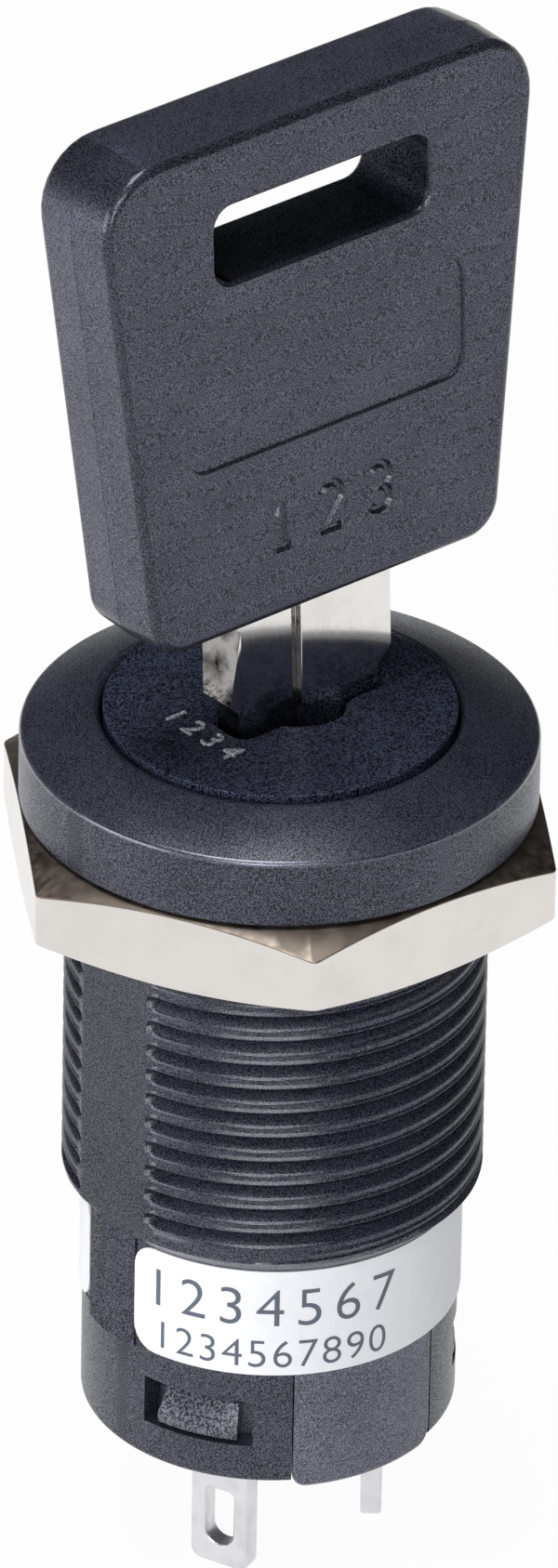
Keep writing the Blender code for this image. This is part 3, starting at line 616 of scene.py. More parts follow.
def carved(solid: BMesh, steps: Sequence[tuple[Carve, BMesh]]) -> BMesh:
    """Cuts, joins or intersects solids.

    Args:
        solid: what is worked on.
        steps: what is done, and the solid that does it, in order.

    Returns:
        The resulting solid.
    """
    blank = as_object("blank", solid)
    tools = [as_object("tool", tool) for _, tool in steps]
    for (operation, _), tool in zip(steps, tools):
        modifier = blank.modifiers.new("carve", "BOOLEAN")
        modifier.operation = operation.value
        modifier.solver = "EXACT"
        modifier.object = tool
    result = evaluated(blank)
    for helper in [blank, *tools]:
        mesh = helper.data
        bpy.data.objects.remove(helper)
        bpy.data.meshes.remove(mesh)
    bmesh.ops.remove_doubles(result, verts=result.verts, dist=1e-4)
    bmesh.ops.dissolve_degenerate(result, edges=result.edges, dist=1e-5)
    return result


def rounded_ends(start: float, stop: float, corner: float, radius: float) -> list[Point]:
    """Places along a band round the axis that has rounded corners at both ends.

    Args:
        start: first angle in degrees.
        stop: last angle in degrees.
        corner: the corners' radius.
        radius: the band's radius.

    Returns:
        Angles in order, each with how far the corners draw the band's edge in there.
    """
    lap = math.degrees(corner / radius)
    turns = [lap * (1 - math.cos(math.radians(a))) for a in range(0, 91, 15)]
    span = stop - start - 2 * lap
    count = math.ceil(span / (360 / COLUMNS))
    middle = [start + lap + span * i / count for i in range(1, count)]
    places = []
    for angle in [start + t for t in turns] + middle + [stop - t for t in reversed(turns)]:
        away = max(0.0, 1 - min(angle - start, stop - angle) / lap)
        places.append((angle, corner * (1 - math.sqrt(1 - away**2))))
    return places


def softened(solid: BMesh, width: float, angle: float = 40.0, segments: int = 2) -> BMesh:
    """Rounds the sharp edges of a solid.

    Args:
        solid: what is rounded.
        width: the bevel's width.
        angle: edges sharper than this many degrees are rounded.
        segments: chords across the bevel.

    Returns:
        The rounded solid.
    """
    blank = as_object("blank", solid)
    bevel = blank.modifiers.new("edges", "BEVEL")
    bevel.width = width
    bevel.segments = segments
    bevel.limit_method = "ANGLE"
    bevel.angle_limit = math.radians(angle)
    result = evaluated(blank)
    mesh = blank.data
    bpy.data.objects.remove(blank)
    bpy.data.meshes.remove(mesh)
    return result


@dataclass
class SubAssembly(ABC):
    """Pieces that a maker's drawing would show together."""

    shown: dict[str, BObject] = field(default_factory=dict, init=False)

    def add(self, name: str, bm: BMesh, body: Body, *stands_for: str) -> BObject:
        """Makes a piece of a mesh in millimetres.

        Args:
            name: the piece's name.
            bm: its mesh.
            body: the body that it rides on.
            stands_for: solids that it is shown in place of.

        Returns:
            The piece.
        """
        bm.transform(Matrix.Scale(MM, 4))
        made = as_object(name, bm)
        made.data.shade_smooth()
        made.data.set_sharp_from_angle(angle=SMOOTH_ANGLE)
        made.modifiers.new("flat_faces", "WEIGHTED_NORMAL").keep_sharp = True
        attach(made, body.value)
        if stands_for:
            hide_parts(*stands_for)
        self.shown[name] = made
        return made

    def finish(self, name: str, finish: Finish, slot: Slot) -> None:
        """Gives a piece its material.

        Args:
            name: the piece's name.
            finish: its surface finish.
            slot: not used.
        """
        made = self.shown[name]
        made.data.materials.clear()
        made.data.materials.append(finish.material())

    def finish_where(self, name: str, finish: Finish, chosen: Callable[[Face], bool]) -> None:
        """Gives some faces of a piece a finish of their own.

        Args:
            name: the piece's name.
            finish: the faces' finish.
            chosen: whether a face takes it.
        """
        mesh = self.shown[name].data
        mesh.materials.append(finish.material())
        for face in mesh.polygons:
            if chosen(face):
                face.material_index = len(mesh.materials) - 1

    @abstractmethod
    def build(self) -> None:
        """Makes the meshes."""

    @abstractmethod
    def dress(self) -> None:
        """Gives them their finishes."""


@dataclass
class Thread:
    """The bushing's outside thread, whose grooves run out at the flat."""

    radius: float = 7.9375
    pitch: float = 1.0583
    phase: float = 0.15
    depth: float = 0.5
    root_half: float = 0.03
    crest: tuple[Point, ...] = (
        (-0.3, 0.1), (-0.19, 0.02), (-0.15, 0.0), (-0.07, 0.07),
        (0.1, 0.07), (0.2, 0.0), (0.23, 0.01), (0.28, 0.08),
    )
    top: float = 0.0
    end: float = -16.6
    first_groove: float = -0.5
    last_groove: float = -15.9
    cone_top: float = -15.9
    cone_radius: float = 7.25
    flat_angle: float = 180.0
    flat_offset: float = 7.71
    flat_half_angle: float = 13.75
    run_out_angle: float = 2.5
    slip: float = 0.46
    slip_angle: float = 90.0

    def section(self) -> Outline:
        """One crest with the bead that a mould leaves along both its edges, and the groove below it.

        Returns:
            Distance down from the crest's middle and depth below the outer diameter.
        """
        middle = self.pitch / 2
        root = [(middle - self.root_half, self.depth), (middle + self.root_half, self.depth)]
        upper = [(self.pitch + down, depth) for down, depth in self.crest if down < 0]
        return [point for point in self.crest if point[0] > 0] + root + upper

    def skin(self, angle: float, z: float, depth: float) -> float:
        """The wall's radius at a place.

        Args:
            angle: degrees about the axis.
            z: height.
            depth: the section's depth there, before the groove runs out.

        Returns:
            The radius.
        """
        away = abs((angle - self.flat_angle + 180) % 360 - 180)
        cone = (z - self.cone_top) / (self.end - self.cone_top)
        wall = self.radius + max(0.0, cone) * (self.cone_radius - self.radius)
        if away <= self.flat_half_angle:
            return min(wall, self.flat_offset / math.cos(math.radians(away)))
        run_out = min(1.0, (away - self.flat_half_angle) / self.run_out_angle)
        ends = min(1.0, max(0.0, self.first_groove - z), max(0.0, z - self.last_groove) * 2)
        filled = self.depth * (1 - run_out * ends)
        return min(wall, self.radius - max(0.0, depth - filled))

    def slipped(self, angle: float) -> float:
        """How far, in pitches, the far half of the mould has set its grooves below the helix."""
        return self.slip * min(1.0, angle / self.slip_angle) if angle < self.flat_angle else 0.0

    def add_to(self, bm: BMesh) -> None:
        """Adds the wall, whose rows follow the helix and end on level rings.

        Args:
            bm: the mesh that takes it.
        """
        section = self.section()
        samples = len(section)
        turns = math.ceil((self.top - self.end) / self.pitch) + 1
        grid: list[list[bmesh.types.BMVert]] = []
        for row in range((turns + 1) * samples):
            whole, part = divmod(row, samples)
            down, depth = section[part]
            line = []
            for column in range(COLUMNS):
                share = column / COLUMNS
                angle = 360 * share
                z = self.top - self.phase - (whole - share + self.slipped(angle)) * self.pitch - down
                z = max(self.end, min(self.top, z)) if row else self.top
                line.append(bm.verts.new(polar(self.skin(angle, z, depth), angle, z)))
            grid.append(line)
        for row in range(len(grid) - 1):
            for column in range(COLUMNS - 1):
                lower, upper = grid[row + 1], grid[row]
                bm.faces.new((upper[column], upper[column + 1], lower[column + 1], lower[column]))
            back = max(0, row - samples), max(0, row + 1 - samples)
            corners = (grid[row][-1], grid[back[0]][0], grid[back[1]][0], grid[row + 1][-1])
            distinct = list(dict.fromkeys(corners))
            if len(distinct) > 2:
                bm.faces.new(distinct)


@dataclass
class Housing(SubAssembly):
    """The black moulding: bezel, threaded bushing and skirt."""

    thread: Thread = field(default_factory=Thread)
    bezel_radius: float = 9.7
    bezel_side: float = 2.7
    face_radius: float = 6.72
    face_round: float = 0.32
    arris: float = 0.2
    face_top: float = 3.75
    face_seat: float = 0.9
    label_seat: float = 7.12
    label_end: float = -21.3
    skirt_radius: float = 7.1
    skirt_end: float = -26.2
    chamber_radius: float = 6.3
    ledge: float = -13.6
    bore: float = 5.75
    window_angles: tuple[float, ...] = (328.0, 208.0, 88.0)
    window_half_angle: float = 18.2
    window_top: float = -22.6
    window_end: float = -24.6
    notch: tuple[float, float] = (238.2, 290.3)
    notch_top: float = -20.7
    land_left: float = -1.37
    land_crest: float = -0.5
    land_right: float = 0.72
    land_offset: float = 7.62
    land_foot: float = 7.16
    land_root: float = 6.5
    land_end: tuple[float, float] = (-20.9, -21.5)
    lock_groove: tuple[float, float, float, float] = (6.45, 2.9, -11.5, -0.9)
    stop_rib: tuple[float, float, float, float] = (5.3, 6.6, -19.4, -15.9)
    stop_half_angle: float = 10.0
    click_angles: tuple[float, ...] = (30.0, -60.0)
    click_centre: float = 5.55
    click_radius: float = 0.95
    click_span: tuple[float, float] = (-19.3, -17.1)
    past: float = 1.0

    def build(self) -> None:
        """Makes the moulding."""
        wall = self.thread
        upper = rounded([
            (self.bore, self.face_seat, 0),
            (self.face_radius, self.face_seat, 0),
            (self.face_radius, self.face_top, self.face_round),
            (self.bezel_radius, self.bezel_side, self.arris),
            (self.bezel_radius, 0.0, 0.1),
            (wall.radius, wall.top, 0),
        ])
        lower = rounded([
            (wall.cone_radius, wall.end, 0),
            (self.label_seat, wall.end, 0),
            (self.label_seat, self.label_end, 0),
            (self.skirt_radius, self.label_end, 0.05),
            (self.skirt_radius, self.skirt_end, 0.22),
            (self.chamber_radius, self.skirt_end, 0.1),
            (self.chamber_radius, self.ledge, 0),
            (self.bore, self.ledge, 0),
            upper[0] + (0,),
        ])
        bm = bmesh.new()
        for profile in (upper, lower):
            angles = [360 * i / COLUMNS for i in range(COLUMNS)]
            rings = [[bm.verts.new(polar(r, angle, z)) for angle in angles] for r, z in profile]
            for ring, other in zip(rings, rings[1:]):
                band(bm, ring, other)
        wall.add_to(bm)
        bmesh.ops.remove_doubles(bm, verts=bm.verts, dist=1e-4)
        bmesh.ops.dissolve_degenerate(bm, edges=bm.edges, dist=1e-5)
        steps = [(Carve.JOIN, moved(self.land(), turn_to(wall.flat_angle)))]
        inner, outer = self.chamber_radius - self.past, self.skirt_radius + self.past
        for angle in self.window_angles:
            start, stop = angle - self.window_half_angle, angle + self.window_half_angle
            steps.append((Carve.CUT, sector(inner, outer, self.window_end, self.window_top, start, stop)))
        low = self.skirt_end - self.past
        steps.append((Carve.CUT, sector(inner, outer, low, self.notch_top, *self.notch)))
        self.add("housing_moulding", carved(bm, steps + self.inside()), Body.SWITCH, "housing")

    def inside(self) -> list[tuple[Carve, BMesh]]:
        """The stop rib, the grooves that the wafers spring into and the click grooves.

        Returns:
            What is done to the moulding, in order.
        """
        middle = self.thread.flat_angle
        start, stop = middle - self.stop_half_angle, middle + self.stop_half_angle
        steps = [(Carve.JOIN, sector(*self.stop_rib, start, stop))]
        reach, half, low, high = self.lock_groove
        groove = corners_only(box_corners(-reach, reach, -half, half))
        steps += [(Carve.CUT, moved(prism(groove, low, high), turn_to(angle))) for angle in (0.0, 90.0)]
        click = arc((self.click_centre, 0), self.click_radius, 0, 360, 32)[:-1]
        steps += [
            (Carve.CUT, moved(prism(click, *self.click_span), turn_to(angle))) for angle in self.click_angles
        ]
        return steps

    def land(self) -> BMesh:
        """The raised land between the label's ends, pointing along +X.

        Returns:
            The solid.
        """
        left, right = self.land_end
        section = [
            (self.land_root, self.land_left, left),
            (self.land_offset, self.land_left, left),
            (self.land_offset, self.land_crest, (left + right) / 2),
            (self.land_foot, self.land_right, right),
            (self.land_root, self.land_right, right),
        ]
        top = self.thread.cone_top + 0.3
        bm = loft([section, [(x, y, top) for x, y, _ in section]])
        bmesh.ops.triangulate(bm, faces=bm.faces)
        return bm

    def on_arris(self, face: Face) -> bool:
        """Whether a face belongs to the round along the bezel's rim."""
        rim = self.bezel_radius - 2 * self.arris
        return face.center.xy.length > rim * MM and 0.1 < face.normal.z < 0.9

    def dress(self) -> None:
        """Gives the moulding its grain and its thread crests their wear, its arris a lighter colour as a painted
        highlight, and its flat a darker one as painted shade.
        """
        self.finish("housing_moulding", HOUSING_PLASTIC, Slot.BLACK_PLASTIC)
        self.finish_where("housing_moulding", HOUSING_EDGE, lambda face: 0.2 < face.normal.z < 0.85)
        # The rim takes a lighter colour: a painted highlight.
        self.finish_where("housing_moulding", HOUSING_ARRIS_PAINTED_HIGHLIGHT, self.on_arris)
        # The flat takes a darker copy of the moulding: painted shade.
        self.finish_where("housing_moulding", HOUSING_FLAT_PAINTED_SHADE, lambda face: face.normal.x < -0.999)


@dataclass
class PanelNut(SubAssembly):
    """The hexagonal nut on the thread."""

    flats: float = 19.4
    corner: float = 0.38
    top: float = -0.08
    end: float = -3.33
    bore: float = 8.1
    vertex_angle: float = 58.0
    face_radius: float = 9.5
    chamfer_radius: float = 11.4
    top_drop: float = 0.67
    end_drop: float = 0.65
    edge: float = 0.05

    def build(self) -> None:
        """Makes the nut from a hexagon and a turned chamfer."""
        reach = self.flats / 2 / math.cos(math.radians(30))
        corners = [(*polar(reach, self.vertex_angle + 60 * i).xy, self.corner) for i in range(6)]
        profile = [
            (self.bore, self.top - 0.25), (self.bore + 0.25, self.top), (self.face_radius, self.top),
            (self.chamfer_radius, self.top - self.top_drop), (self.chamfer_radius, self.end + self.end_drop),
            (self.face_radius, self.end), (self.bore + 0.25, self.end), (self.bore, self.end + 0.25),
        ]
        hexagon = prism(rounded(corners, 6), self.end - 1, self.top + 1)
        nut = carved(hexagon, [(Carve.SHARE, turned(profile, COLUMNS // 2))])
        self.add("nut_plated", softened(nut, self.edge, 12), Body.NUT, "panel_nut")

    def dress(self) -> None:
        """Gives the nut its plating, and its up-facing faces a darker brownish tone as a painted reflection of
        the bezel.
        """
        self.finish("nut_plated", NUT_NICKEL, Slot.NICKEL_PLATE)
        # Up-facing faces take the darker brownish finish, a painted reflection of the bezel above.
        self.finish_where("nut_plated", NUT_TOP_PAINTED_REFLECTION, lambda face: face.normal.z > 0.25)


@dataclass(frozen=True)
class FigureRow:
    """A row of plain figures along the label."""

    figures: str
    height: float
    advance: float
    z: float


@dataclass
class RatingLabel(SubAssembly):
    """The white wrap-round label, with plain figures for its print."""

    radius: float = 7.22
    thick: float = 0.08
    top: float = -16.7
    end: float = -21.3
    start_angle: float = 186.0
    stop_angle: float = 520.0
    corner: float = 1.0
    ink_height: float = 0.012
    ink_sink: float = 0.03
    print_angle: float = 231.0
    rows: tuple[FigureRow, ...] = (
        FigureRow("1234567", 1.7, 1.5, -18.4),
        FigureRow("1234567890", 1.25, 0.95, -20.42),
    )
    longest_edge: float = 0.3

    def build(self) -> None:
        """Makes the film and its print."""
        self.add("label_film", self.film(), Body.SWITCH, "rating_label")
        self.add("label_print", self.ink(), Body.SWITCH)

    def film(self) -> BMesh:
        """The band with rounded corners where its ends face each other.

        Returns:
            The solid.
        """
        inner = self.radius - self.thick
        rings = []
        for angle, draw_in in rounded_ends(self.start_angle, self.stop_angle, self.corner, self.radius):
            low, high = self.end + draw_in, self.top - draw_in
            section = [(inner, low), (self.radius, low), (self.radius, high), (inner, high)]
            rings.append([polar(r, angle, z) for r, z in section])
        return loft(rings)

    def ink(self) -> BMesh:
        """The rows of figures, wrapped on the film.

        Returns:
            The thin solids.
        """
        flat = bmesh.new()
        for row in self.rows:
            first = -(len(row.figures) - 1) / 2 * row.advance
            for index, figure in enumerate(row.figures):
                take_in(flat, lettering(figure, row.height, (first + index * row.advance, row.z)))
        bmesh.ops.triangulate(flat, faces=flat.faces)
        for _ in range(3):
            long = [edge for edge in flat.edges if edge.calc_length() > self.longest_edge]
            bmesh.ops.subdivide_edges(flat, edges=long, cuts=1)
            bmesh.ops.triangulate(flat, faces=flat.faces)
        thicken(flat, self.ink_height + self.ink_sink)
        for vert in flat.verts:
            angle = self.print_angle + math.degrees(vert.co.x / self.radius)
            vert.co = polar(self.radius - self.ink_sink + vert.co.z, angle, vert.co.y)
        return flat

    def dress(self) -> None:
        """Gives the film and the ink their finishes."""
        self.finish("label_film", LABEL_WHITE, Slot.LABEL_FILM)
        self.finish("label_print", LABEL_INK, Slot.LABEL_FILM)


def take_in(bm: BMesh, other: BMesh) -> None:
    """Adds a mesh to another and frees it.

    Args:
        bm: the mesh that takes it.
        other: the mesh that is added.
    """
    temporary = bpy.data.meshes.new("temporary")
    other.to_mesh(temporary)
    other.free()
    bm.from_mesh(temporary)
    bpy.data.meshes.remove(temporary)


def thicken(flat: BMesh, height: float) -> None:
    """Turns flat faces at z = 0 into solids.

    Args:
        flat: the mesh that is changed.
        height: how far the copies of the faces are raised.
    """
    raised = bmesh.ops.extrude_face_region(flat, geom=flat.faces[:])
    for vert in (item for item in raised["geom"] if isinstance(item, bmesh.types.BMVert)):
        vert.co.z = height


def lettering(words: str, height: float, place: Point) -> BMesh:
    """Flat figures in Blender's own plain face, with its strokes a little thinned.

    Args:
        words: the figures.
        height: their height.
        place: the middle of the line.

    Returns:
        Their faces in the XY plane.
    """
    curve = bpy.data.curves.new("figures", "FONT")
    curve.body = words
    curve.size = height / 0.72
    curve.resolution_u = 5
    curve.offset = -height * STROKE_THINNING
    curve.align_x = "CENTER"
    curve.align_y = "CENTER"
    text = bpy.data.objects.new("figures", curve)
    bpy.context.scene.collection.objects.link(text)
    bm = evaluated(text)
    bpy.data.objects.remove(text)
    bpy.data.curves.remove(curve)
    bm.transform(Matrix.Translation((*place, 0)))
    return bm


@dataclass(frozen=True)
class KeyAxis:
    """Where the key stands: beside the lock's axis, and leaning back from it."""

    beside: float = 0.83
    lean: float = 3.085
    face: float = 3.75

    def place(self) -> Matrix:
        """The key's own frame in the switch's."""
        lean = Matrix.Rotation(math.radians(-self.lean), 4, "X")
        return Matrix.Translation((self.beside, 0, self.face)) @ lean @ Matrix.Translation((0, 0, -self.face))


@dataclass
class LockPlug(SubAssembly):
    """The round face with the keyhole, and the barrel that the key turns."""

    axis: KeyAxis = field(default_factory=KeyAxis)
    disc_radius: float = 6.6
    disc_round: float = 0.04
    face_top: float = 3.75
    seat: float = 1.2
    shank_radius: float = 5.5
    groove_radius: float = 4.7
    groove: tuple[float, float] = (-13.85, -14.7)
    shank_end: float = -15.25
    tang: tuple[float, float, float] = (3.0, 1.2, -16.2)
    keyhole_half: float = 3.4
    keyhole_wide: float = 0.95
    keyhole_corner: float = 0.3
    keyway_end: float = -12.4
    round_radius: float = 1.8
    round_floor: float = 1.35
    round_fillet: float = 0.6
    chamfer: float = 0.35
    over_face: float = 0.05
    wafer_z: tuple[float, ...] = (-2.2, -4.8, -7.4, -10.0)
    wafer_room: tuple[float, float] = (2.7, 0.7)
    pocket: tuple[float, float, float] = (-2.4, 2.7, 4.1)
    figures: str = "1234"
    figure_height: float = 1.0
    figure_advance: float = 1.1
    figure_x: float = -3.7
    figure_rise: float = 0.08
    figure_sink: float = 0.05
    past: float = 1.0

    def build(self) -> None:
        """Makes the plug and the raised figures on its face."""
        profile = rounded([
            (0.02, self.face_top, 0),
            (0.02, self.shank_end, 0),
            (self.shank_radius, self.shank_end, 0.15),
            (self.shank_radius, self.groove[1], 0),
            (self.groove_radius, self.groove[1], 0),
            (self.groove_radius, self.groove[0], 0),
            (self.shank_radius, self.groove[0], 0),
            (self.shank_radius, self.seat, 0),
            (self.disc_radius, self.seat, 0.1),
            (self.disc_radius, self.face_top, self.disc_round),
        ])
        half, wide, low = self.tang
        tang = corners_only(box_corners(-half, half, -wide, wide))
        long, wide = self.keyhole_half, self.keyhole_wide
        slot = rounded(box_corners(-long, long, -wide, wide, self.keyhole_corner))
        over = self.face_top + self.past
        beside = Matrix.Translation((self.axis.beside, 0, 0))
        steps = [
            (Carve.JOIN, prism(tang, low, self.shank_end + 0.3)),
            (Carve.CUT, moved(prism(slot, self.keyway_end, over), self.axis.place())),
            (Carve.CUT, moved(prism(self.mouth(), self.round_floor, over), beside)),
            (Carve.CUT, moved(self.flare(self.mouth()), beside)),
        ]
        side, thick = self.wafer_room
        left, right, reach = self.pocket
        far = self.shank_radius + self.past
        room = [(-far, -side), (far, -side), (far, side), (right, side), (right, reach), (left, reach)]
        room += [(left, side), (-far, side)]
        steps += [(Carve.CUT, prism(room, z - thick, z + thick)) for z in self.wafer_z]
        self.add("plug_moulding", carved(turned(profile, COLUMNS // 2), steps), Body.PLUG, "lock_plug")
        self.add("plug_figures", self.raised_figures(), Body.PLUG)

    def mouth(self) -> Outline:
        """The keyhole's mouth: a slot through a round hole, with hollow corners between them.

        Returns:
            The points in order, anticlockwise.
        """
        fillet, wide, long = self.round_fillet, self.keyhole_wide, self.keyhole_half
        centre_y = wide + fillet
        centre_x = math.sqrt((self.round_radius + fillet) ** 2 - centre_y**2)
        meet = math.degrees(math.atan2(centre_y, centre_x))
        end = arc((long - self.keyhole_corner, wide - self.keyhole_corner), self.keyhole_corner, 0, 90, 5)
        hollow = arc((centre_x, centre_y), fillet, 270, 180 + meet, 6)
        quarter = end + hollow + arc((0, 0), self.round_radius, meet, 90, 8)[1:]
        half = quarter + [(-x, y) for x, y in reversed(quarter[:-1])]
        return half + [(-x, -y) for x, y in half]

    def flare(self, outline: Outline) -> BMesh:
        """A cutter that chamfers the mouth of a hole.

        Args:
            outline: the hole's outline.

        Returns:
            The solid.
        """
        low, high = self.face_top - self.chamfer, self.face_top + self.over_face
        wider = grown(outline, self.chamfer + self.over_face)
        return loft([[(x, y, low) for x, y in outline], [(x, y, high) for x, y in wider]])

    def raised_figures(self) -> BMesh:
        """Plain moulded figures in a row along -Y, with their feet away from the keyhole.

        Returns:
            The solids, whose feet are sunk in the face.
        """
        row = bmesh.new()
        first = -(len(self.figures) - 1) / 2 * self.figure_advance
        for index, figure in enumerate(self.figures):
            place = first + index * self.figure_advance, 0.0
            take_in(row, lettering(figure, self.figure_height, place))
        thicken(row, self.figure_sink + self.figure_rise)
        lift = Matrix.Translation((self.figure_x, 0, self.face_top - self.figure_sink))
        return moved(row, lift @ turn_to(-90))

    def dress(self) -> None:
        """Gives the plug its grain, and its raised figures a pale colour as a painted glint."""
        self.finish("plug_moulding", PLUG_PLASTIC, Slot.BLACK_PLASTIC)
        # The figures' pale colour is a painted glint.
        self.finish("plug_figures", MARK_PAINTED_GLINT, Slot.BLACK_PLASTIC)


@dataclass
class Key(SubAssembly):
    """The key: moulded grip on a milled blade, drawn upright on its own axis."""

    axis: KeyAxis = field(default_factory=KeyAxis)
    top: float = 29.21
    end: float = 8.71
    top_half: float = 10.41
    end_half: float = 8.17
    thick: float = 4.1
    top_corner: float = 2.6
    end_corner: float = 1.6
    edge: float = 0.4
    draft: float = 0.09
    parting_step: float = 0.01
    slot: tuple[float, float, float] = (5.0, 23.25, 26.38)
    slot_corner: float = 0.8
    slot_edges: tuple[Point, ...] = ((0.0, 2.06), (0.0, 0.2), (0.06, 0.06), (0.2, -0.06))
    panel: tuple[float, float, float] = (6.5, 15.95, 20.9)
    panel_corner: float = 0.9
    panel_edges: tuple[Point, ...] = ((0.0, 0.12), (0.03, 0.04), (0.07, 0.01), (0.2, -0.03))
    figure_x: tuple[float, ...] = (-2.14, 0.11, 2.38)
    figure_z: float = 12.6
    figure_half: float = 0.94
    figure_bow: float = 0.47
    stroke: tuple[Point, ...] = ((0.07, -0.14), (0.19, 0.0), (0.24, 0.06))
    blade_half: float = 3.85
    blade_thick: float = 1.6
    blade_top: float = 12.8
    shoulder: float = 4.95
    bit_edge: float = -3.2
    tip: float = -11.2
    tip_chamfer: float = 1.2
    bits: tuple[Point, ...] = ((-2.2, 0.8), (-4.8, 0.4), (-7.4, 1.0), (-10.0, 0.6))
    bit_floor: float = 0.35
    bit_mouth: float = 0.95
    groove: tuple[float, float, float] = (-3.25, -0.43, 0.3)
    burr_slope: float = 0.2
    clear: float = 0.15
    past: float = 1.0

    def build(self) -> None:
        """Makes the grip and the blade."""
        place = self.axis.place()
        self.add("key_grip", moved(self.grip(), place), Body.KEY, "key_head")
        self.add("blade_milled", moved(self.blade(), place), Body.KEY, "key_blade")

    def grip(self) -> BMesh:
        """The tapered plate, drafted from a mid parting line, with its slot, panels and figures.

        Returns:
            The solid.
        """
        face = self.thick / 2 - self.edge
        rounds = [math.radians(a) for a in range(0, 91, 15)]
        levels = [(0.0, 0.0)]
        levels += [
            (self.draft + self.edge * (1 - math.cos(turn)), face + self.edge * math.sin(turn)) for turn in rounds
        ]
        levels = [(inset + self.parting_step, -y) for inset, y in reversed(levels)] + levels
        rings = [[(x, y, z) for x, z in self.plate(inset)] for inset, y in levels]
        steps = []
        for side in (-1, 1):
            steps.append((Carve.CUT, self.recess(self.slot, self.slot_corner, self.slot_edges, side)))
            steps.append((Carve.CUT, self.recess(self.panel, self.panel_corner, self.panel_edges, side)))
        steps += [(Carve.CUT, cutter) for cutter in self.figure_cutters()]
        broad, deep = self.blade_half + self.clear, self.blade_thick / 2 + self.clear
        pocket = corners_only(box_corners(-broad, broad, -deep, deep))
        steps.append((Carve.CUT, prism(pocket, self.end - self.past, self.blade_top + self.clear)))
        return carved(loft(rings), steps)

    def recess(
        self, span: tuple[float, float, float], corner: float, edges: Sequence[Point], side: int
    ) -> BMesh:
        """A cutter with rounded corners that widens towards a face of the grip.

        Args:
            span: half its width, its lowest and its highest point.
            corner: its corners' radius.
            edges: how much wider it is, at each depth below the face.
            side: -1 for the front face, 1 for the back.

        Returns:
            The solid.
        """
        wide, low, high = span
        rings = []
        for grow, depth in edges:
            corners = box_corners(-wide - grow, wide + grow, low - grow, high + grow, corner + grow)
            outline = rounded(corners, 6)
            rings.append([(x, side * (self.thick / 2 - depth), z) for x, z in outline])
        return loft(rings)

    def plate(self, inset: float) -> Outline:
        """The grip's outline.

        Args:
            inset: how far it is drawn in all round.

        Returns:
            Points in the XZ plane.
        """
        top, end = self.top_half - inset, self.end_half - inset
        low, high = self.end + inset, self.top - inset
        return rounded([
            (-end, low, self.end_corner - inset), (end, low, self.end_corner - inset),
            (top, high, self.top_corner - inset), (-top, high, self.top_corner - inset),
        ], 8)

    def figure_cutters(self) -> list[BMesh]:
        """The strokes of the plain figures 1, 2 and 3, to engrave in the front face.

        Returns:
            One solid for each stroke.
        """
        high, bow = self.figure_half, self.figure_bow
        two = arc((0, high - bow), bow, 165, -35, 24) + [(-bow, -high)]
        figures = (
            [[(0, high), (0, -high)], [(-0.4, 0.5), (0.05, high + 0.04)], [(-0.35, -high), (0.35, -high)]],
            [two, [(-bow - 0.05, -high), (bow, -high)]],
            [arc((0, high - bow), bow, 150, -90, 24), arc((0, -high + bow), bow, 90, -150, 24)],
        )
        return [
            self.stroke_cutter([(x + left, self.figure_z + up) for left, up in path])
            for x, paths in zip(self.figure_x, figures) for path in paths
        ]

    def stroke_cutter(self, path: Outline) -> BMesh:
        """A stroke with sloped walls, along a path on the front face.

        Args:
            path: its points, seen from the front.

        Returns:
            The solid that cuts it.
        """
        face = -self.thick / 2
        rings = []
        for index, (x, z) in enumerate(path):
            last, following = path[max(0, index - 1)], path[min(len(path) - 1, index + 1)]
            along = (Vector(following) - Vector(last)).normalized()
            section = [(-half, rise) for half, rise in reversed(self.stroke)] + list(self.stroke)
            rings.append([(x - along.y * off, face - rise, z + along.x * off) for off, rise in section])
        return loft(rings)

    def blade(self) -> BMesh:
        """The blade with its bitting and milled groove.

        Returns:
            The solid.
        """
        half, bit = self.blade_half, self.bit_edge
        waist = self.shoulder - half - bit
        edge = [(-half, self.blade_top), (-half, self.shoulder), (bit, waist)]
        for z, depth in self.bits:
            edge += [(bit, z + self.bit_mouth), (bit + depth, z + self.bit_floor)]
            edge += [(bit + depth, z - self.bit_floor), (bit, z - self.bit_mouth)]
        outline = edge[:-1] + [(bit + self.tip_chamfer, self.tip)]
        outline += [(-bit - self.tip_chamfer, self.tip), (-bit, self.tip + self.tip_chamfer)]
        outline += [(-bit, waist), (half, self.shoulder), (half, self.blade_top)]
        thick = self.blade_thick / 2
        bar = prism(outline, -thick, thick, "XZ")
        for vert in bar.verts:
            if vert.co.y < 0 and vert.co.x < self.past - half and vert.co.z > self.shoulder:
                vert.co.x += self.burr_slope * (vert.co.z - self.shoulder)
        left, right, depth = self.groove
        groove = corners_only(box_corners(left, right, -thick - self.past, depth - thick))
        cutter = prism(groove, self.tip - self.past, self.blade_top + self.past)
        return softened(carved(bar, [(Carve.CUT, cutter)]), 0.06)

    def in_slot(self, face: Face) -> bool:
        """Whether a face of the grip is a wall of its slot."""
        half, low, high = self.slot
        x, _, z = face.center / MM
        inside = abs(x) < half + self.past and low - self.past < z < high + self.past
        return inside and abs(face.normal.y) < 0.3

    def dress(self) -> None:
        """Gives the grip its grain, worn edges and painted shade in its slot, and the blade its metal with
        painted shade.
        """
        self.finish("key_grip", GRIP_PLASTIC, Slot.BLACK_PLASTIC)
        self.finish_where("key_grip", GRIP_EDGE, lambda face: max(map(abs, face.normal)) < 0.96)
